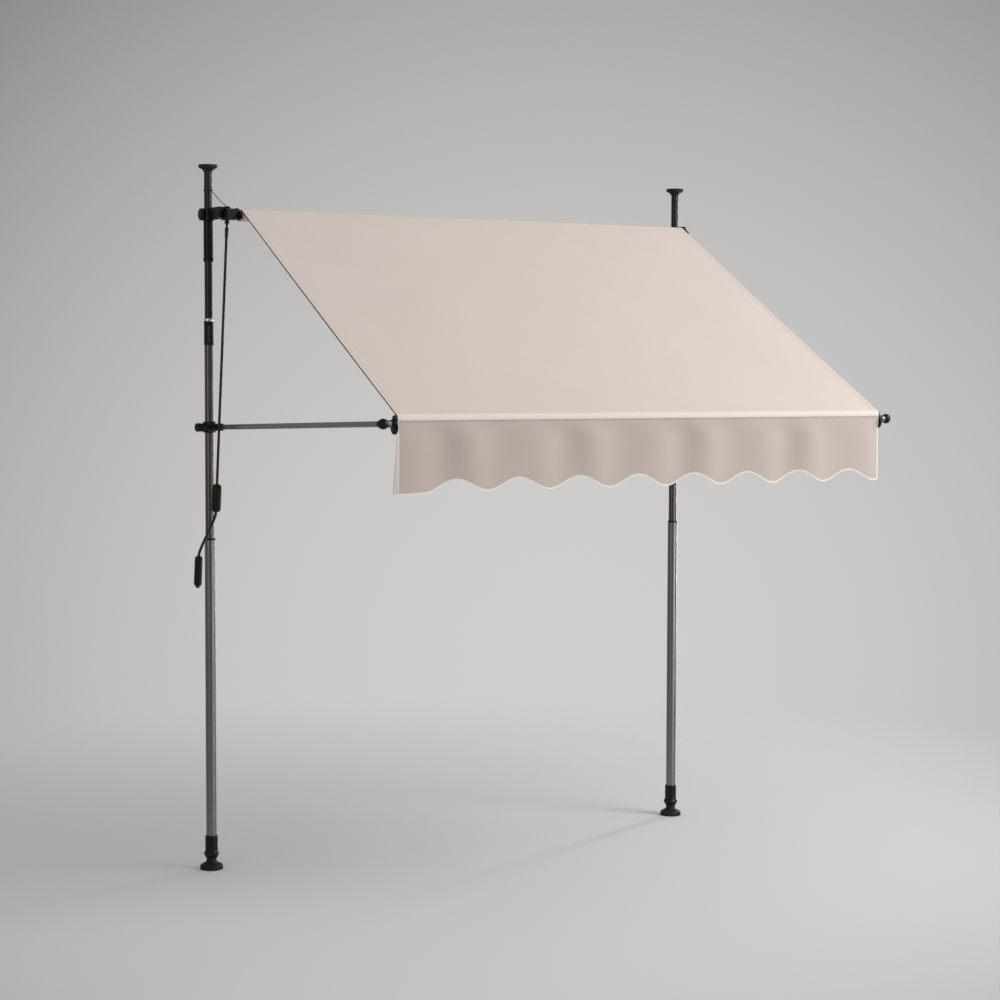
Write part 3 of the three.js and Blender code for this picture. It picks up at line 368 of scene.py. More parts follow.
# %% [markdown]
# ## Tools for shaping the pieces
#
# Shapes are drawn in millimetres in the frame of the left post: its foot is the origin, +X points
# inward to the other post and -Y points forward. When a shape is done it is moved to its post, and
# the right post gets the mirror image. The CAD nodes that are remade here are named in `replaces`.

# %% Shape helpers
POST_X = 1065.0
SHARP = math.radians(34)
TUBE_CHAMFER = 0.4


def spun(profile, steps=48, ring=False):
    """Spin a line of (radius, height) points about Z; a ring closes on itself, as a pipe wall does."""
    shape = bmesh.new()
    verts = [shape.verts.new((radius, 0, height)) for radius, height in profile]
    edges = [shape.edges.new(pair) for pair in zip(verts, verts[1:])]
    if ring:
        edges.append(shape.edges.new((verts[-1], verts[0])))
    bmesh.ops.spin(shape, geom=verts + edges, axis=(0, 0, 1), cent=(0, 0, 0), angle=2 * math.pi,
                   steps=steps, use_merge=True)
    bmesh.ops.remove_doubles(shape, verts=shape.verts, dist=0.001)
    bmesh.ops.recalc_face_normals(shape, faces=shape.faces)
    return shape


def drum(radius, low, high, steps=56):
    """A plain cylinder about Z between two heights."""
    return spun([(0, low), (radius, low), (radius, high), (0, high)], steps)


def tube(outer, inner, low, high, steps=56):
    """A tube about Z whose ends are broken by a small chamfer."""
    edge = TUBE_CHAMFER
    return spun([(inner, low), (outer - edge, low), (outer, low + edge), (outer, high - edge),
                 (outer - edge, high), (inner, high)], steps, ring=True)


def softened(shape, radius, segments=2):
    """Round every sharp edge of a shape."""
    bmesh.ops.remove_doubles(shape, verts=shape.verts, dist=0.01)
    sharp = [edge for edge in shape.edges if edge.is_manifold and edge.calc_face_angle(0) > SHARP]
    bmesh.ops.bevel(shape, geom=sharp, offset=radius, offset_type="OFFSET", affect="EDGES",
                    segments=segments, profile=0.5, material=-1, clamp_overlap=True)
    return shape


def block(x0, x1, y0, y1, z0, z1):
    """A box between two corners."""
    shape = bmesh.new()
    bmesh.ops.create_cube(shape, size=1)
    bmesh.ops.scale(shape, vec=(x1 - x0, y1 - y0, z1 - z0), verts=shape.verts)
    return moved(shape, (x0 + x1) / 2, (y0 + y1) / 2, (z0 + z1) / 2)


def plate(outline, x0, x1):
    """An outline of (forward, height) points, extruded along X."""
    shape = bmesh.new()
    verts = [shape.verts.new((x0, -forward, height)) for forward, height in outline]
    extruded = bmesh.ops.extrude_face_region(shape, geom=[shape.faces.new(verts)])
    far = [part for part in extruded["geom"] if isinstance(part, bmesh.types.BMVert)]
    bmesh.ops.translate(shape, vec=(x1 - x0, 0, 0), verts=far)
    bmesh.ops.recalc_face_normals(shape, faces=shape.faces)
    return shape


def hexagon(radius, low, high):
    """A hexagonal prism about Z."""
    shape = bmesh.new()
    bmesh.ops.create_cone(shape, cap_ends=True, segments=6, radius1=radius, radius2=radius,
                          depth=high - low)
    return moved(shape, z=(low + high) / 2)


def turned(shape, degrees, axis):
    """Turn a shape about one axis through the origin."""
    bmesh.ops.rotate(shape, matrix=Matrix.Rotation(math.radians(degrees), 3, axis), verts=shape.verts)
    return shape


def moved(shape, x=0.0, y=0.0, z=0.0):
    """Move a shape."""
    bmesh.ops.translate(shape, vec=(x, y, z), verts=shape.verts)
    return shape


def inward(shape):
    """Lay a shape made about +Z along +X."""
    return turned(shape, 90, "Y")


def outward(shape):
    """Lay a shape made about +Z along -X."""
    return turned(shape, -90, "Y")


def forward(shape):
    """Lay a shape made about +Z along -Y."""
    return turned(shape, 90, "X")


def together(*shapes):
    """Put several shapes into one mesh as they are."""
    mesh = bpy.data.meshes.new("joining")
    whole = bmesh.new()
    for shape in shapes:
        shape.to_mesh(mesh)
        whole.from_mesh(mesh)
        shape.free()
    bpy.data.meshes.remove(mesh)
    return whole


def carved(base, joined=(), cut=()):
    """Join closed shapes to one solid and cut others out of it, with exact booleans."""
    holders = []
    for shape in (base, *joined, *cut):
        mesh = bpy.data.meshes.new("carving")
        shape.to_mesh(mesh)
        shape.free()
        holders.append(placed("carving", mesh))
    for number, holder in enumerate(holders[1:]):
        step = holders[0].modifiers.new("carve", "BOOLEAN")
        step.operation = "UNION" if number < len(joined) else "DIFFERENCE"
        step.solver = "EXACT"
        step.object = holder
    result = bmesh.new()
    result.from_object(holders[0], bpy.context.evaluated_depsgraph_get())
    for holder in holders:
        bpy.data.objects.remove(holder)
    bmesh.ops.remove_doubles(result, verts=result.verts, dist=0.01)
    bmesh.ops.dissolve_limit(result, angle_limit=math.radians(1), verts=result.verts, edges=result.edges)
    return result


def fluted(shape, low, high, least, count, share, margin, depth):
    """Sink flutes into the band of a spun shape between two heights, outside the least radius."""
    band = []
    for face in shape.faces:
        middle = face.calc_center_median()
        if low < middle.z < high and math.hypot(middle.x, middle.y) > least and abs(face.normal.z) < 0.7:
            band.append((math.atan2(middle.y, middle.x) % (2 * math.pi), face))
    for flute in range(count):
        start = 2 * math.pi * flute / count
        wide = 2 * math.pi * share / count
        chosen = [face for angle, face in band if start < angle < start + wide]
        bmesh.ops.inset_region(shape, faces=chosen, thickness=margin, depth=-depth, use_even_offset=True)
    return shape


pieces_made = []


def new_piece(name, shape, finish, body, replaces=()):
    """Turn a shape in millimetres into a piece that rides on a body and stands for CAD nodes."""
    bmesh.ops.scale(shape, vec=(mm, mm, mm), verts=shape.verts)
    mesh = bpy.data.meshes.new(name)
    shape.to_mesh(mesh)
    shape.free()
    mesh.shade_smooth()
    mesh.set_sharp_from_angle(angle=SHARP)
    mesh.materials.append(finish)
    piece = placed(name, mesh)
    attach(piece, body)
    if replaces:
        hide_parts(*replaces)
    pieces_made.append(piece)
    return piece


def at_post(shape, sign):
    """Move a shape from the left post's frame to its post: -1 is the left one, 1 the right one."""
    if sign > 0:
        bmesh.ops.scale(shape, vec=(-1, 1, 1), verts=shape.verts)
        bmesh.ops.reverse_faces(shape, faces=shape.faces)
    return moved(shape, sign * POST_X)


def both_posts(node, build, finish, body="upper_frame", build_right=None):
    """Build a piece for the left post, and its mirror image or its own shape for the right one."""
    for side, sign, make in (("left", -1, build), ("right", 1, build_right or build)):
        own_body = body.replace("SIDE", side)
        new_piece(f"{side}_{node}_made", at_post(make(), sign), finish, own_body,
                  [f"{side}_{node}"])


# %% [markdown]
# ## Feet
#
# Each post stands on a rubber pad: a thick disc with a ribbed rim that rises to a neck. Above it sits
# a fluted sleeve: turning it by hand screws the spindle out and jams the post. Both are turned
# shapes, so a profile is spun about the post. The flutes are insets pushed into the spun wall.

# %% Foot pads and sleeves
PAD_PROFILE = [
    (0, 0), (41, 0), (43.4, 1), (44, 2.6), (44, 13.6), (43.2, 15.6), (41, 17.6), (37, 20), (32, 22.6),
    (27, 25.4), (23, 28.6), (20.6, 31.6), (19.5, 35), (19.5, 50), (8.3, 50), (8.3, 20), (0, 20),
]
SLEEVE_PROFILE = [
    (19.8, 45), (22.4, 45), (23.6, 46), (27.8, 56.5), (29.2, 60), (29.5, 62), (29.2, 64), (27.6, 67),
    (24.6, 70.5), (24.0, 73), (24.0, 127), (23.7, 129.6), (22.6, 131), (20.3, 131), (20.3, 69.7),
    (8.3, 69.7), (8.3, 60), (19.8, 60),
]
FLUTES = 14
PAD_RIBS = 30


def foot_pad():
    """The rubber disc with upright ribs round its rim."""
    return fluted(spun(PAD_PROFILE, PAD_RIBS * 4), low=3, high=13, least=43, count=PAD_RIBS,
                  share=0.5, margin=0.7, depth=0.9)


def foot_sleeve():
    """The flared sleeve, with flutes for the fingers."""
    return fluted(spun(SLEEVE_PROFILE, FLUTES * 6, ring=True), low=76, high=125, least=23, count=FLUTES,
                  share=0.68, margin=1.2, depth=1.5)


both_posts("foot_pad", foot_pad, rubber_finish, "SIDE_foot")
both_posts("foot_sleeve", foot_sleeve, plastic_finish, "SIDE_sleeve")

# %% [markdown]
# ## Telescopic tubes
#
# A brushed steel tube stands on the foot, a dark one slides in it and a black one in that. Tubes are
# one wall profile spun about the post. Each keeps a small chamfer, which catches a thin line of light.

# %% Tubes of the posts
MID_FIT = 16.9
UPPER_FIT = 15.3
BUSH_PROFILE = [
    (MID_FIT, 1214), (18.5, 1214), (18.5, 1274.3), (20.2, 1274.3), (20.4, 1275), (20.4, 1278.6),
    (19.2, 1280.3), (MID_FIT, 1280.3),
]
both_posts("lower_tube", lambda: tube(20, 18.8, 70, 1274), steel_finish, "posts")
both_posts("tube_bush", lambda: spun(BUSH_PROFILE, 56, ring=True), plastic_finish,
           "posts")
both_posts("mid_tube", lambda: tube(16.6, 15.4, 880, 2100), dark_finish)
both_posts("upper_tube", lambda: tube(15, 13.8, 1950, 2686.7), black_finish)

# %% [markdown]
# ## Telescope collar
#
# The upper tube is held by a slotted collar that a screw pinches shut, under a polished ring. The
# slot and the screw hole are cut with booleans. The screw's head has a hexagon socket.

# %% Collars, screws and rings
SCREW_HEIGHT = 2059.5
SCREW_HOLE_R = 4.3
COLLAR_PROFILE = [
    (MID_FIT, 2019), (18.0, 2019), (18.5, 2019.7), (18.5, 2022.6), (18.1, 2023.4), (18.1, 2098),
    (18.5, 2099), (18.5, 2106.6), (17.7, 2108), (UPPER_FIT, 2108), (UPPER_FIT, 2100.3),
    (MID_FIT, 2100.3),
]
SCREW_PROFILE = [
    (0, 17), (4, 17), (4, 18.7), (5.8, 18.7), (6.2, 19.1), (6.2, 21.4), (5.6, 22.2), (0, 22.2),
]
RING_PROFILE = [
    (UPPER_FIT, 2108.3), (17.0, 2108.3), (17.6, 2109.2), (17.9, 2111.5), (17.9, 2116), (17.6, 2118.2),
    (17.0, 2119), (UPPER_FIT, 2119),
]


def telescope_collar():
    """A thin collar with a slot and a hole for its screw."""
    slot = turned(block(-3, 3, -40, 0, 2027, 2092), -20, "Z")
    hole = moved(forward(drum(SCREW_HOLE_R, 5, 40, 24)), z=SCREW_HEIGHT)
    return carved(spun(COLLAR_PROFILE, 56, ring=True), cut=[slot, hole])


def collar_screw():
    """A socket head screw that points forward."""
    return moved(forward(carved(spun(SCREW_PROFILE, 40), cut=[hexagon(3.1, 20, 25)])), z=SCREW_HEIGHT)


both_posts("telescope_collar", telescope_collar, plastic_finish)
both_posts("collar_screw", collar_screw, black_finish)
both_posts("collar_ring", lambda: spun(RING_PROFILE, 56, ring=True), polished_finish)

# %% [markdown]
# ## Ceiling pads and support sleeves
#
# The post ends in a rubber disc with a groove round its rim and a shallow bowl underneath. Under the
# roller bracket a plastic sleeve with a thicker foot and three grooves takes its weight.

# %% Ceiling pads and support sleeves
CEILING_PROFILE = [
    (UPPER_FIT, 2674), (16.9, 2674), (17.5, 2674.8), (18.6, 2677.4), (21, 2680.6), (25, 2683.8),
    (29.6, 2686), (33.2, 2687.4), (35.2, 2689), (36, 2691), (36, 2694.4), (35.3, 2695), (35.3, 2696),
    (36, 2696.6), (36, 2699), (35, 2700), (0, 2700), (0, 2687), (UPPER_FIT, 2687),
]
support_profile = [(UPPER_FIT, 2334.2), (18.9, 2334.2), (19.5, 2334.9), (19.5, 2346), (18.9, 2347.4)]
support_profile += [(18, 2349.6)]
for low in (2466, 2473, 2480):
    support_profile += [(18, low), (17.4, low + 0.8), (17.4, low + 1.6), (18, low + 2.4)]
support_profile += [(18, 2488.6), (17.6, 2489.2), (UPPER_FIT, 2489.2)]

both_posts("ceiling_pad", lambda: spun(CEILING_PROFILE, 80), rubber_finish)
both_posts("support_sleeve", lambda: spun(support_profile, 56, ring=True), plastic_finish)

# %% [markdown]
# ## Roller brackets
#
# The left bracket is one moulding: a ring round the tube, a thick arm with the worm in its end, and a
# thinner gear nose on the roller's axle, cut off along the cloth. It is joined from a few solids, its
# edges are rounded, and then the tube bore and the gear room are cut. The right one has no gear.

# %% Brackets
BRACKET_LOW = 2489.5
BRACKET_HIGH = 2534.5
BRACKET_R = 22
LOCK_HEIGHT = 2512
AXLE_HOLE_R = 6.3
ROLLER_FORWARD = 146
ROLLER_HEIGHT = 2503
WORM_INWARD = 25
WORM_FORWARD = 124.7
GEAR_NOSE = [(100, 2486), (158, 2486), (163, 2491), (163, 2520.3), (151.4, 2527), (100, 2527)]
GEAR_ROOM = [(109, 2489), (155, 2489), (160, 2494), (160, 2519.2), (151.6, 2524), (109, 2524)]
COVER_SCREWS = [(112, 2491), (157, 2492), (112, 2521), (149, 2521)]
COVER_SCREW_PROFILE = [(0, 6), (2.2, 6), (2.2, 8.2), (3.8, 8.2), (3.8, 12), (0, 12)]
RIGHT_ARM = [
    (-12, 2504.5), (118, 2504.5), (139, 2489), (153, 2489), (160, 2496), (160, 2505), (146, 2530.5),
    (-12, 2530.5),
]
RIGHT_RECESS = [(8, 2509), (112, 2509), (124, 2513), (128, 2525), (8, 2525)]


def at_roller(shape):
    """Lay a shape made about +Z on the roller's axis."""
    return moved(inward(shape), 0, -ROLLER_FORWARD, ROLLER_HEIGHT)


def at_worm(shape):
    """Move an upright shape to the worm's axis."""
    return moved(shape, WORM_INWARD, -WORM_FORWARD)


def bracket_cutters():
    """The bore for the tube and the hole for the clamping screw."""
    return [drum(UPPER_FIT, 2480, 2545), moved(outward(drum(SCREW_HOLE_R, 2, 50, 24)), z=LOCK_HEIGHT)]


def left_bracket():
    """Ring, arm and gear nose in one, with the screws of the gear cover."""
    arm = block(-7, 24, -128, 0, 2493, 2533)
    neck = block(-4, 21, -112, -8, 2491, 2536)
    worm_post = at_worm(drum(13, 2484, 2535, 40))
    nose = plate(GEAR_NOSE, 10.7, 56.7)
    body = carved(drum(BRACKET_R, BRACKET_LOW, BRACKET_HIGH), [arm, worm_post, nose])
    hub = at_roller(spun([(0, 8.2), (9.5, 8.2), (10, 8.8), (10, 20), (0, 20)], 32))
    added = [softened(neck, 2), softened(hub, 1)]
    for ahead, height in COVER_SCREWS:
        added.append(moved(inward(spun(COVER_SCREW_PROFILE, 20)), 1.5, -ahead, height))
    tube_bore, lock_hole = bracket_cutters()
    room = plate(GEAR_ROOM, 13.7, 70)
    shaft = at_worm(drum(9.6, 2470, 2528, 28))
    return carved(softened(body, 2.2, 3), added, [tube_bore, room, shaft, lock_hole])


def right_bracket():
    """Ring, bridge and a flat arm that ends in an eye for the axle."""
    bridge = block(0, 56.7, -12, 12, 2504.5, 2530.5)
    body = carved(drum(BRACKET_R, BRACKET_LOW, BRACKET_HIGH), [bridge, plate(RIGHT_ARM, 44.7, 56.7)])
    axle = at_roller(drum(AXLE_HOLE_R, 30, 80, 28))
    return carved(softened(body, 1.8, 3), cut=[*bracket_cutters(), plate(RIGHT_RECESS, 38, 48), axle])


both_posts("roller_bracket", left_bracket, plastic_finish, build_right=right_bracket)

# %% [markdown]
# ### Cheeks and clamping knobs
#
# A cheek plate closes each bracket and guides the edge of the cloth. On the other side of the post a
# domed knob with finger hollows clamps the bracket on its tube.

# %% Cheek plates and bracket knobs
CHEEK = [(106, 2486), (187, 2486), (192, 2491), (192, 2504.2), (147.2, 2530), (106, 2530)]
LOCK_KNOB_PROFILE = [
    (0, 15.3), (4, 15.3), (4, 22.3), (10, 22.3), (10, 24.3), (21.6, 24.3), (22.7, 25.3), (23, 26.6),
    (23, 31), (22, 32.8), (19.4, 34.2), (15, 35.2), (8, 35.8), (0, 36),
]


def cheek_plate():
    """The plate with its axle hole."""
    return carved(softened(plate(CHEEK, 57, 62), 1), cut=[at_roller(drum(AXLE_HOLE_R, 40, 80, 28))])


def bracket_knob():
    """The knob with its clamping screw."""
    knob = fluted(spun(LOCK_KNOB_PROFILE, 60), low=25, high=32, least=21.5, count=10, share=0.56,
                  margin=1.0, depth=1.8)
    return moved(outward(knob), z=LOCK_HEIGHT)


both_posts("cheek_plate", cheek_plate, black_finish)
both_posts("bracket_knob", bracket_knob, plastic_finish, "SIDE_bracket_knob")

# %% [markdown]
# ## Roller, worm gear and crank joint
#
# The roller is an aluminium tube, almost hidden under the cloth, with a flanged cap and an axle at
# each end. Under the gear nose the worm shaft ends in a cup that holds the ball of the crank.

# %% Roller tube, caps and gear shafts
BALL_HEIGHT = 2472
CUP_R = 7.1


def roller_cap(axle_start):
    """Axle, flange and spigot."""
    return at_roller(spun([
        (0, axle_start), (5.4, axle_start), (6, axle_start + 0.8), (6, 62.3), (21.4, 62.3), (22, 63),
        (22, 65.1), (21.4, 65.7), (19.5, 65.7), (19.5, 89), (18.8, 89.7), (0, 89.7)], 56))


new_piece("roller_tube_made", at_roller(tube(21, 19.8, -999, 999)), bar_finish, "roller",
          ["roller_tube"])
both_posts("roller_cap", lambda: roller_cap(17.5), zinc_finish, "roller",
           lambda: roller_cap(41.7))

worm_profile = [(0, 2479.1)]
for step in range(1, 5):
    angle = math.pi / 2 - step * math.pi / 8
    worm_profile.append((CUP_R * math.cos(angle), BALL_HEIGHT + CUP_R * math.sin(angle)))
worm_profile += [(8.6, 2472), (9.1, 2472.8), (9.1, 2479.4), (8.4, 2480.6), (5, 2483), (5, 2490)]
for thread in range(5):
    low = 2490 + 6.6 * thread
    worm_profile += [(7.2, low), (9, low + 2.3), (9, low + 4.3), (7.2, low + 6.6)]
worm_profile += [(7.2, 2523), (0, 2523)]
new_piece("worm_shaft_made", at_post(at_worm(spun(worm_profile, 40)), -1), black_finish, "worm",
          ["worm_shaft"])

# %% [markdown]
# ## Crank
#
# The rod hangs from the ball joint and leans outward by a few degrees. Below the upper grip it is
# cranked sideways, so that the two grips turn round each other. The rod is a bezier curve with a
# round section, made into a mesh. The grips are turned capsules with ribs along them.

# %% Crank rod and grips
CRANK_LEAN = 2.65
HANDLE_OFFSET = -62
ROD_R = 5.2
ROD_LINE = [(0, -50, 5), (0, -1088, 24), (HANDLE_OFFSET, -1248, 24), (HANDLE_OFFSET, -1366, 5)]
SOCKET_PROFILE = [
    (4.3, -15), (6.4, -15), (6.9, -15.8), (6.9, -46), (6.5, -49), (5.1, -56), (5.1, -30.3), (4.3, -30.3),
]
BUTTON_PROFILE = [(0, -1370.9), (7, -1370.9), (8, -1369.9), (8, -1366.9), (7, -1365.9), (0, -1365.9)]
BALL_R = 6.5
BALL_START = -1.15
GRIP_BORE = 5.5
GRIP_RIBS = 12


def on_crank(shape):
    """Bring a shape from the crank's own frame, whose -Z runs down the rod, to the left post."""
    return at_post(moved(turned(shape, CRANK_LEAN, "Y"), WORM_INWARD, -WORM_FORWARD, BALL_HEIGHT), -1)


def round_line(radius, sides):
    """An empty curve with a round, closed section."""
    curve = bpy.data.curves.new("line", "CURVE")
    curve.dimensions = "3D"
    curve.bevel_depth = radius
    curve.bevel_resolution = sides
    curve.use_fill_caps = True
    return curve


def curve_shape(curve):
    """Turn a curve into a shape and drop the curve."""
    holder = placed("line", curve)
    mesh = bpy.data.meshes.new_from_object(holder.evaluated_get(bpy.context.evaluated_depsgraph_get()))
    shape = bmesh.new()
    shape.from_mesh(mesh)
    bpy.data.objects.remove(holder)
    bpy.data.curves.remove(curve)
    bpy.data.meshes.remove(mesh)
    bmesh.ops.remove_doubles(shape, verts=shape.verts, dist=0.005)
    bmesh.ops.recalc_face_normals(shape, faces=shape.faces)
    return shape


def bent_rod():
    """The rod along its line of (sideways, height, handle length) points with upright handles."""
    curve = round_line(ROD_R, 6)
    curve.resolution_u = 24
    line = curve.splines.new("BEZIER")
    line.bezier_points.add(len(ROD_LINE) - 1)
    for place, (x, z, reach) in zip(line.bezier_points, ROD_LINE):
        place.co = (x, 0, z)
        place.handle_left = (x, 0, z + reach)
        place.handle_right = (x, 0, z - reach)
    return curve_shape(curve)


def grip(top, length, radius, end):
    """A grip with rounded ends of a given length and ribs that run along it."""
    low = top - length
    inner = GRIP_BORE + 1
    arc = [(math.sin(math.pi / 12 * step), 1 - math.cos(math.pi / 12 * step)) for step in range(1, 7)]
    rise = [(inner + (radius - inner) * out, low + end * up) for out, up in arc]
    fall = [(inner + (radius - inner) * out, top - end * up) for out, up in reversed(arc)]
    body = spun([(GRIP_BORE, low), *rise, *fall, (GRIP_BORE, top)], GRIP_RIBS * 6, ring=True)
    return fluted(body, low + end, top - end, radius - 1, GRIP_RIBS, share=0.34, margin=0.8, depth=1.1)


button = moved(spun(BUTTON_PROFILE, 40), HANDLE_OFFSET)
new_piece("crank_rod_made", on_crank(together(bent_rod(), spun(SOCKET_PROFILE, 40, ring=True), button)),
          black_finish, "crank", ["crank_rod"])

joint_profile = [(0, -30), (4, -30)]
for step in range(1, 8):
    angle = BALL_START + step * (math.pi / 2 - BALL_START) / 8
    joint_profile.append((BALL_R * math.cos(angle), BALL_R * math.sin(angle)))
joint_profile.append((0, BALL_R))
new_piece("crank_joint_made", on_crank(spun(joint_profile, 40)), black_finish, "crank",
          ["crank_joint"])
new_piece("crank_upper_grip_made", on_crank(grip(-979, 106, 18, 15)), plastic_finish, "crank_grip",
          ["crank_upper_grip"])
new_piece("crank_handle_grip_made", on_crank(moved(grip(-1251, 114, 14.8, 12), HANDLE_OFFSET)),
          plastic_finish, "crank_handle", ["crank_handle_grip"])

# %% [markdown]
# ## Stay wire
#
# A thin wire runs from an eyelet on the left tube to the top of the gear housing. It is held at both
# ends and sags a little, so it is a curve of several points. The eyelet is a screw eye: a ring on a
# collar round the tube.

# %% Stay wire and eyelet
STAY_TOP = Vector((3.0, -19.8, 2604.0))
STAY_FOOT = Vector((WORM_INWARD, -142.0, 2528.8))
STAY_SAG = 5.0
STAY_R = 1.5
LOOP_R = 3
LOOP_WIRE_R = 0.9
EYE_R = 2
EYE_WIRE_R = 1.1
EYE_BAND = [(15.2, 2600), (16.6, 2600), (17, 2600.6), (17, 2607.4), (16.6, 2608), (15.2, 2608)]


def wire_through(points, radius):
    """A thin round wire through the points."""
    curve = round_line(radius, 3)
    line = curve.splines.new("POLY")
    line.points.add(len(points) - 1)
    for place, point in zip(line.points, points):
        place.co = (*point, 1)
    return curve_shape(curve)


stay_points = []
for step in range(25):
    point = STAY_TOP.lerp(STAY_FOOT, step / 24)
    point.z -= STAY_SAG * math.sin(math.pi * step / 24)
    stay_points.append(point)
foot_loop = []
for step in range(17):
    angle = 2 * math.pi * step / 16
    foot_loop.append(STAY_FOOT + LOOP_R * Vector((0, math.sin(angle), 1 - math.cos(angle))))
wires = together(wire_through(stay_points, STAY_R), wire_through(foot_loop, LOOP_WIRE_R))
new_piece("stay_wire_made", at_post(wires, -1), black_finish, "upper_frame", ["stay_wire"])

eye_section = []
for step in range(12):
    angle = step * math.pi / 6
    eye_section.append((EYE_R + EYE_WIRE_R * math.cos(angle), EYE_WIRE_R * math.sin(angle)))
eye = moved(turned(spun(eye_section, 24, ring=True), 90, "Y"), 3, -19.4, 2604)
new_piece("stay_eyelet_made", at_post(together(spun(EYE_BAND, 48, ring=True), eye), -1), black_finish,
          "upper_frame", ["stay_eyelet"])

# %% [markdown]
# ## Arm clamps, knobs and pivots
#
# A split ring clamps the pivot of each arm on the middle tube. Its lug stands forward and carries the
# pivot bolt, and the big ribbed knob outside tightens it. Ring, bridge and lug are joined, rounded,
# bored and split.

# %% Arm clamps, knobs and bolts
PIVOT_FORWARD = 40
PIVOT_HEIGHT = 1706
ARM_KNOB_PROFILE = [
    (5.3, 16.3), (8.4, 16.3), (9, 17), (9, 30), (13.2, 31.3), (14.6, 32.6), (15.4, 36), (16.4, 66),
    (16, 68.6), (14, 70.3), (8, 70.6), (7, 69.6), (0, 69.6), (0, 50.3), (5.3, 50.3),
]
BOLT_PROFILE = [(0, -50), (5, -50), (5, 37.1), (8.5, 37.1), (8.5, 38.3), (0, 38.3)]


def at_pivot(shape):
    """Move a shape from the pivot's own frame to the left post."""
    return moved(shape, 0, -PIVOT_FORWARD, PIVOT_HEIGHT)


def bolt_hole():
    """A cutter for the pivot bolt."""
    return inward(drum(5.3, -60, 60, 28))


def arm_clamp():
    """The split clamp ring with its lug."""
    lug = at_pivot(inward(drum(17, -16, 7.2, 48)))
    body = carved(drum(23.6, 1685, 1727), [lug, block(-15, 6.2, -40, 0, 1692, 1720)])
    split = block(-1.2, 1.2, 0, 40, 1670, 1740)
    return carved(softened(body, 1.8, 3), cut=[drum(MID_FIT, 1670, 1740), at_pivot(bolt_hole()), split])


def arm_knob():
    """The ribbed knob: a little wider at its end than at its neck."""
    return at_pivot(outward(fluted(spun(ARM_KNOB_PROFILE, 64), low=34, high=66, least=12, count=8,
                                   share=0.6, margin=1.0, depth=1.9)))


def pivot_bolt():
    """The bolt with a hexagon head on a washer."""
    return at_pivot(inward(together(spun(BOLT_PROFILE, 40), softened(hexagon(7.6, 38, 42.1), 0.5, 1))))


both_posts("arm_clamp", arm_clamp, plastic_finish)
both_posts("arm_knob", arm_knob, plastic_finish, "SIDE_arm_knob")
both_posts("pivot_bolt", pivot_bolt, zinc_finish)

# %% [markdown]
# ## Arms
#
# The arms are drawn level, pointing forward from their pivot, and then tilted to the angle that the
# CAD model gives them. Each has a moulded root and a ball-shaped elbow with a flat face, where the
# fitting of the front bar turns.

# %% Arms
BAR_FORWARD = 1443
PIN_HEIGHT = 1749
ARM_LENGTH = math.hypot(BAR_FORWARD - PIVOT_FORWARD, PIN_HEIGHT - PIVOT_HEIGHT)
ARM_TILT = math.degrees(math.atan2(PIN_HEIGHT - PIVOT_HEIGHT, BAR_FORWARD - PIVOT_FORWARD))
ARM_INWARD = 24
ARM_TUBE_FIT = 10.3
ARM_TUBE_START = 17.3
ARM_TUBE_INSET = 10.3
SOCKET_R = 12.8


def as_arm(shape):
    """Tilt a level arm shape and hang it on its pivot."""
    return at_pivot(turned(shape, -ARM_TILT, "X"))


def arm_root():
    """An eye with a socket for the tube."""
    arm_socket = moved(forward(drum(SOCKET_R, 0, 36, 48)), ARM_INWARD)
    body = softened(carved(inward(drum(14, 7.5, 36.8, 48)), [arm_socket]), 1.2)
    tube_hole = moved(forward(drum(ARM_TUBE_FIT, 17, 60, 48)), ARM_INWARD)
    return as_arm(carved(body, cut=[bolt_hole(), tube_hole]))


def arm_tube():
    """The slim tube of the arm."""
    level = forward(tube(10, 8.8, ARM_TUBE_START, ARM_LENGTH - ARM_TUBE_INSET, 48))
    return as_arm(moved(level, ARM_INWARD))


def arm_elbow():
    """A ball with a flat face towards the bar's fitting and a socket for the tube."""
    ball = bmesh.new()
    bmesh.ops.create_uvsphere(ball, u_segments=40, v_segments=24, radius=18)
    arm_socket = forward(spun([(0, -26), (11.8, -26), (SOCKET_R, -25), (SOCKET_R, 0), (0, 0)], 48))
    flat = block(11.7, 60, -60, 60, -60, 60)
    tube_hole = forward(drum(ARM_TUBE_FIT, -60, -10, 48))
    pin_hole = inward(drum(4.3, -10, 40, 28))
    elbow = carved(ball, [arm_socket], [flat, tube_hole, pin_hole])
    return as_arm(moved(elbow, ARM_INWARD, -ARM_LENGTH))


both_posts("arm_root", arm_root, plastic_finish, "SIDE_arm")
both_posts("arm_tube", arm_tube, arm_finish, "SIDE_arm")
both_posts("arm_elbow", arm_elbow, plastic_finish, "SIDE_arm")

# %% [markdown]
# ## Front bar and its fittings
#
# The bar is an aluminium tube inside the pocket of the valance. At each end a bell-shaped cap with a
# round flange stands between the bar and a short spacer on the elbow.

# %% Front bar, caps and spacers
BAR_HEIGHT = 1766
BAR_RISE = BAR_HEIGHT - PIN_HEIGHT
FLANGE_DROP = 11
SPACER_PROFILE = [
    (4.3, 36), (11.9, 36), (12.5, 36.6), (12.5, 41), (11.9, 41.8), (11.9, 44.2), (12.5, 45),
    (12.5, 49.4), (11.9, 50), (4.3, 50),
]
BELL_PROFILE = [
    (0, 15), (3.4, 15), (4, 15.6), (4, 50.3), (11, 50.3), (12.2, 51.2), (14.4, 55), (17, 59), (20, 61.8),
    (20, 67.7), (0, 67.7),
]
FLANGE_PROFILE = [(0, 61), (21, 61), (23.4, 61.8), (24, 63), (24, 66.6), (23, 67.7), (0, 67.7)]
STUB_PROFILE = [(0, 66), (10, 66), (10, 94), (9.4, 95.7), (0, 95.7)]


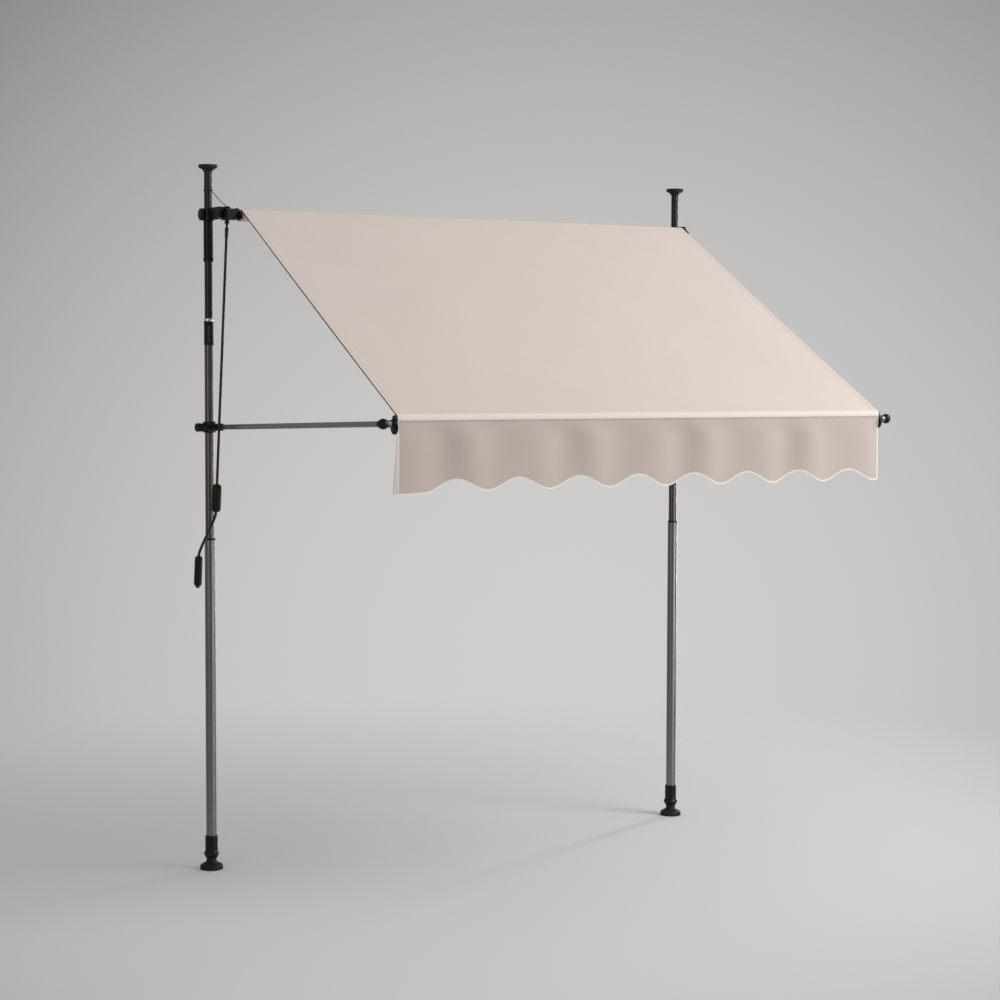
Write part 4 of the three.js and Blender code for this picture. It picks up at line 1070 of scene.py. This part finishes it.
def at_pin(shape):
    """Move a shape from the end pin's frame to the left post."""
    return moved(shape, 0, -BAR_FORWARD, PIN_HEIGHT)


def bar_end_cap():
    """Pin, bell, flange and the stub inside the bar."""
    flange = moved(inward(spun(FLANGE_PROFILE, 56)), z=-FLANGE_DROP)
    head = moved(inward(drum(11.5, 62.3, 67.7, 40)), z=BAR_RISE)
    stub = moved(inward(spun(STUB_PROFILE, 40)), z=BAR_RISE)
    return at_pin(carved(inward(spun(BELL_PROFILE, 48)), [flange, head, stub]))


both_posts("end_spacer", lambda: at_pin(inward(spun(SPACER_PROFILE, 48, ring=True))), spacer_finish,
           "front_bar")
both_posts("bar_end_cap", bar_end_cap, plastic_finish, "front_bar")
bar = moved(inward(tube(11.5, 10.3, -997, 997)), 0, -BAR_FORWARD, BAR_HEIGHT)
new_piece("front_bar_made", bar, bar_finish, "front_bar", ["front_bar"])

# %% [markdown]
# ## Canopy
#
# The canopy is one sheet, pulled tight between the roller and the bar. It starts where the cloth
# leaves the roll and ends in a short flap on the bar's pocket. A flat grid of faces is laid along
# that path: a function gives each grid point its place. A slight sag, faint ripples and a thicker hem
# along each side keep it from looking like a board. The unrolled place of each point becomes the UV
# map, so the weave is not stretched.

# %% Canopy sheet
CLOTH_HALF = 995
HEM_WIDTH = 20
CLOTH_THICK = 1.2
SAG = 3.0
ROLL_R = 24
WRAP_R = 14.3
NORMAL = Vector((0, -0.49875, 0.86673))
ROLLER_AXIS = Vector((0, -ROLLER_FORWARD, ROLLER_HEIGHT))
BAR_AXIS = Vector((0, -BAR_FORWARD, BAR_HEIGHT))
SHEET_START = ROLLER_AXIS + ROLL_R * NORMAL
SHEET_END = BAR_AXIS + WRAP_R * NORMAL
SHEET_RUN = (SHEET_END - SHEET_START).length
RUN_ALONG = (SHEET_END - SHEET_START) / SHEET_RUN
FLAP_TURN = math.radians(14)
SHEET_LENGTH = SHEET_RUN + WRAP_R * FLAP_TURN
print("canopy length in mm:", round(SHEET_LENGTH))


def round_bar(radius, angle):
    """A point on a circle round the bar, at an angle from the sheet's upper side."""
    return BAR_AXIS + radius * (NORMAL * math.cos(angle) + RUN_ALONG * math.sin(angle))


def canopy_point(distance):
    """Where the middle of the sheet runs, at a distance from the roller."""
    if distance <= SHEET_RUN:
        sag = SAG * math.sin(math.pi * distance / SHEET_RUN)
        return SHEET_START + RUN_ALONG * distance - NORMAL * sag
    return round_bar(WRAP_R, (distance - SHEET_RUN) / WRAP_R)


def grid_sheet(columns, rows):
    """A flat grid whose X and Y both run from 0 to 1."""
    shape = bmesh.new()
    bmesh.ops.create_grid(shape, x_segments=columns, y_segments=rows, size=0.5)
    return moved(shape, 0.5, 0.5)


def laid(shape, place):
    """Lay a flat grid as cloth: place gives each point and its flat spot, which becomes the UV map."""
    shape.verts.index_update()
    spots = []
    for vert in shape.verts:
        vert.co, spot = place(vert.co.x, vert.co.y)
        spots.append(spot)
    bmesh.ops.recalc_face_normals(shape, faces=shape.faces)
    layer = shape.loops.layers.uv.new("cloth")
    for face in shape.faces:
        for loop in face.loops:
            across, down = spots[loop.vert.index]
            loop[layer].uv = (across * mm, down * mm)
    return shape


def cloth_piece(name, shape, thickness, finish, body, replaces=()):
    """Make a laid sheet a piece and thicken it to both sides with an applied Solidify modifier."""
    piece = new_piece(name, shape, finish, body, replaces)
    wall = piece.modifiers.new("thickness", "SOLIDIFY")
    wall.thickness = thickness * mm
    wall.offset = 0
    mesh = bpy.data.meshes.new_from_object(piece.evaluated_get(bpy.context.evaluated_depsgraph_get()))
    piece.modifiers.clear()
    old = piece.data
    piece.data = mesh
    bpy.data.meshes.remove(old)
    mesh.name = name
    mesh.shade_smooth()
    mesh.set_sharp_from_angle(angle=SHARP)
    return piece


def canopy_place(u, v):
    """A place on the canopy."""
    across = (2 * u - 1) * CLOTH_HALF
    down = v * SHEET_LENGTH
    hem = 0.2 if abs(across) > CLOTH_HALF - HEM_WIDTH else 0
    ripple = 1.1 * math.sin(across / 97) * math.sin(math.pi * min(1, down / SHEET_RUN))
    point = canopy_point(down) + NORMAL * (hem + ripple)
    return (across, point.y, point.z), (across, down)


shape = grid_sheet(140, 160)
for x in (HEM_WIDTH / (2 * CLOTH_HALF), 1 - HEM_WIDTH / (2 * CLOTH_HALF)):
    for shift in (-0.0002, 0.0002):
        bmesh.ops.bisect_plane(shape, geom=shape.verts[:] + shape.edges[:] + shape.faces[:],
                               plane_co=(x + shift, 0, 0), plane_no=(1, 0, 0))
canopy_cloth = cloth_piece("canopy_cloth", laid(shape, canopy_place), CLOTH_THICK, canopy_finish,
                           "canopy", ["canopy"])

# %% [markdown]
# ### Welts, stitches and band of the canopy
#
# A welt cord runs under each side hem and shows as a thin dark line along the edge. Its near-black
# colour is painted shade for the shaded underside of the hem. A row of stitches holds each hem. A band
# covers the flap round the bar, where canopy and valance meet. Its lighter colour is a painted highlight
# for the light on the rounded top of the bar.

# %% Welts, stitches and band
STITCH = 3.6
STITCH_PITCH = 6.0
THREAD_R = 0.32
WELT_R = 2.2
ACROSS_WAY = Vector((1, 0, 0))
FRONT_WAY = Vector((0, -1, 0))
BAND_R = WRAP_R + 1.3
BAND_HALF = CLOTH_HALF - 0.5
BAND_START = math.radians(-12)
BAND_TURN = math.radians(98)


def stitches(points, lift):
    """Small thread strokes along a line of points, each with a direction, raised by a little."""
    shape = bmesh.new()
    for place, direction, up in points:
        turn = direction.to_track_quat("Z", "Y").to_matrix().to_4x4()
        bmesh.ops.create_cone(shape, cap_ends=True, segments=5, radius1=THREAD_R, radius2=THREAD_R,
                              depth=STITCH, matrix=Matrix.Translation(place + up * lift) @ turn)
    return shape


welts = []
seam = []
for side in (-1, 1):
    line = []
    for step in range(61):
        point = canopy_point(SHEET_RUN * step / 60) - NORMAL * WELT_R
        line.append(Vector((side * (CLOTH_HALF - 0.6), point.y, point.z)))
    welts.append(wire_through(line, WELT_R))
    for step in range(int(SHEET_RUN / STITCH_PITCH)):
        point = canopy_point((step + 0.5) * STITCH_PITCH)
        place = Vector((side * (CLOTH_HALF - HEM_WIDTH + 4), point.y, point.z))
        seam.append((place, RUN_ALONG, NORMAL))
# The welts' dark colour is painted shade along the side hems.
canopy_welts = new_piece("canopy_welts", together(*welts), welt_painted_shade_finish, "canopy")
canopy_stitches = new_piece("canopy_stitches", stitches(seam, 1.6), thread_finish, "canopy")
print("canopy stitches:", len(seam))


def band_place(u, v):
    """A place on the band round the bar."""
    across = (2 * u - 1) * BAND_HALF
    angle = BAND_START + v * BAND_TURN
    point = round_bar(BAND_R, angle)
    return (across, point.y, point.z), (across, BAND_R * angle)


# The band's lighter finish is a painted highlight on the bar's rounded top.
bar_band = cloth_piece("bar_band", laid(grid_sheet(140, 16), band_place), 1.0, band_painted_highlight_finish, "front_bar")

# %% [markdown]
# The arms swing up while the roller takes up the cloth, and the free length between roller and bar
# grows shorter then. Here the sheet, its welts and its stitches each get a mesh of their own.

# %% Give the cloth pieces meshes of their own
for piece in (canopy_cloth, canopy_welts, canopy_stitches):
    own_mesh(piece)

# %% [markdown]
# ### Cloth left on the roller
#
# The turns that stay on the roller are a spiral that creeps outward, as a grid laid round the roller.
# It turns with the roller, under the first row of the canopy.

# %% Turns on the roller
TURNS = 3
TURN_STEPS = 48
TURN_R = 21.4
TURN_GROWTH = 1.3
ROLL_ROWS = TURNS * TURN_STEPS


def spiral_point(across, share):
    """A point of the spiral, from the roller at share 0 to its last turn at share 1."""
    angle = 2 * math.pi * TURNS * share
    radius = TURN_R + TURN_GROWTH * share
    return Vector((across, radius * math.cos(angle), radius * math.sin(angle)))


spiral = [spiral_point(0, step / ROLL_ROWS) for step in range(ROLL_ROWS + 1)]
turn_length = sum((after - before).length for before, after in zip(spiral, spiral[1:]))


def roll_place(u, v):
    """A place on the cloth round the roller."""
    across = (2 * u - 1) * CLOTH_HALF
    return spiral_point(across, v) + ROLLER_AXIS, (across, v * turn_length)


cloth_roll = cloth_piece("cloth_roll", laid(grid_sheet(40, ROLL_ROWS), roll_place), 0.45, canopy_finish,
                         "roller")

# %% [markdown]
# ## Valance
#
# The valance is one strip of cloth as well: it is folded round the bar into a pocket and hangs down
# from the bar's front, with soft folds and a scalloped lower edge. Again a grid is laid along the
# path, first round the bar and then down, and the lower edge is raised at the crests of the scallops.

# %% Valance sheet
POCKET_R = 12.9
POCKET_LENGTH = 2 * math.pi * POCKET_R
VALANCE_THICK = 1.1
VALANCE_ROWS = 46
POCKET_SHARE = 24 / VALANCE_ROWS
VALANCE_DROP = 242
CORNER_DROP = 7
SCALLOP_PITCH = 234
SCALLOP_RISE = 40
SCALLOP_DRIFT = 19
FIRST_CREST = 215
FOLD_DEPTH = 9.5
HANG_ANGLE = math.radians(202)
HANG_DROP = -POCKET_R * math.sin(HANG_ANGLE)
HANG_AHEAD = -POCKET_R * math.cos(HANG_ANGLE)


def crest_phase(across):
    """Counts the crests from the left; the ones in the middle lie a little farther right."""
    drift = SCALLOP_DRIFT * math.cos(math.pi * across / (2 * CLOTH_HALF)) ** 2
    return (across - drift + CLOTH_HALF - FIRST_CREST) / SCALLOP_PITCH


def hanging_length(across):
    """The length of the strip below the bar, at a place across the cloth: shorter at each crest."""
    phase = crest_phase(across)
    raised = SCALLOP_RISE * (1 + math.cos(2 * math.pi * phase)) / 2 if phase >= -0.5 else 0
    lower_end = CORNER_DROP * max(0, -across / CLOTH_HALF - 0.7) / 0.3
    return VALANCE_DROP + lower_end - raised - HANG_DROP


def fold(across, share):
    """How far the cloth stands forward: a fold at each crest, every second one deeper."""
    phase = crest_phase(across)
    strength = 0.8 + 0.35 * math.cos(math.pi * phase)
    start = min(1, 3.2 * share)
    eased = start * start * (3 - 2 * start)
    return strength * math.sin(2 * math.pi * phase) * eased * (1 - 0.35 * share)


def strip_point(across, share):
    """A point of the hanging strip, from the pocket at share 0 to the lower edge at share 1."""
    down = share * hanging_length(across)
    depth = FOLD_DEPTH * fold(across, share) + 1.2 * share * math.sin(across / 41 + 4 * share)
    return Vector((across, -BAR_FORWARD - HANG_AHEAD - depth, BAR_HEIGHT - HANG_DROP - down)), down


def valance_place(u, v):
    """A place on the strip: first once round the bar, then down."""
    across = (2 * u - 1) * CLOTH_HALF
    share = 1 - v
    if share < POCKET_SHARE:
        angle = HANG_ANGLE + 2 * math.pi * share / POCKET_SHARE
        ahead = POCKET_R * math.cos(angle) - BAR_FORWARD
        height = POCKET_R * math.sin(angle) + BAR_HEIGHT
        return (across, ahead, height), (across, POCKET_LENGTH * share / POCKET_SHARE)
    point, below = strip_point(across, (share - POCKET_SHARE) / (1 - POCKET_SHARE))
    return point, (across, POCKET_LENGTH + below)


valance_shape = laid(grid_sheet(420, VALANCE_ROWS), valance_place)
valance_cloth = cloth_piece("valance_cloth", valance_shape, VALANCE_THICK, valance_finish, "front_bar",
                            ["valance"])

# %% [markdown]
# ### Binding
#
# A pale tape is folded over the scalloped edge and over both sides, and stitched. It follows the same
# folds, a little thicker than the cloth. The left side tape stands out more towards its foot.

# %% Binding tape and its stitches
TAPE_WIDTH = 5.5
TAPE_LIP = 0.8
TAPE_FLARE = 14.0
SEAM_RISE = TAPE_WIDTH - 1.6
TOP_SEAM = 0.03


def lower_place(u, v):
    """A place on the tape along the scalloped edge."""
    across = (2 * u - 1) * (CLOTH_HALF + TAPE_LIP)
    up = v * TAPE_WIDTH - TAPE_LIP
    return strip_point(across, 1 - up / hanging_length(across))[0], (across, up)


def side_place(side, u, v):
    """A place on the tape along one upright edge."""
    share = v * 0.99
    flare = TAPE_FLARE * share if side < 0 else 0
    across = side * (CLOTH_HALF + TAPE_LIP + flare - u * (TAPE_WIDTH + flare))
    point, down = strip_point(max(-CLOTH_HALF, across), share)
    ahead = 0.6 * max(0, -CLOTH_HALF - across)
    return (across, point.y + ahead, point.z), (down, u * TAPE_WIDTH)


tape_shapes = {
    "valance_tape": laid(grid_sheet(420, 3), lower_place),
    "left_side_tape": laid(grid_sheet(3, 30), lambda u, v: side_place(-1, u, v)),
    "right_side_tape": laid(grid_sheet(3, 30), lambda u, v: side_place(1, u, v)),
}
for name, shape in tape_shapes.items():
    cloth_piece(name, shape, 2.0, binding_finish, "front_bar")


def above_edge(x):
    """A point of the seam that holds the lower tape."""
    return strip_point(x, 1 - SEAM_RISE / hanging_length(x))[0]


seam = []
places = [(step + 0.5) * STITCH_PITCH - CLOTH_HALF for step in range(int(2 * CLOTH_HALF / STITCH_PITCH))]
for x in places:
    seam.append((above_edge(x), (above_edge(x + 1) - above_edge(x)).normalized(), FRONT_WAY))
for x in places:
    seam.append((strip_point(x, TOP_SEAM)[0], ACROSS_WAY, FRONT_WAY))
valance_stitches = new_piece("valance_stitches", stitches(seam, 1.1), thread_finish, "front_bar")

# %% [markdown]
# ## The CAD nodes that stay
#
# The foot spindles and the worm wheel are hidden inside other pieces and keep their CAD shape. They
# still get their finish, because the poses and other views may show them.

# %% Finishes on the CAD nodes that stay
NODE_FINISHES = {"left_foot_spindle": zinc_finish, "right_foot_spindle": zinc_finish,
                 "worm_wheel": brass_finish}
for node, finish in NODE_FINISHES.items():
    for place in bpy.data.objects[node].material_slots:
        place.material = finish
shown = [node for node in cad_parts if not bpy.data.objects[node].hide_render]
print("pieces made:", len(pieces_made), "CAD nodes still shown:", shown)
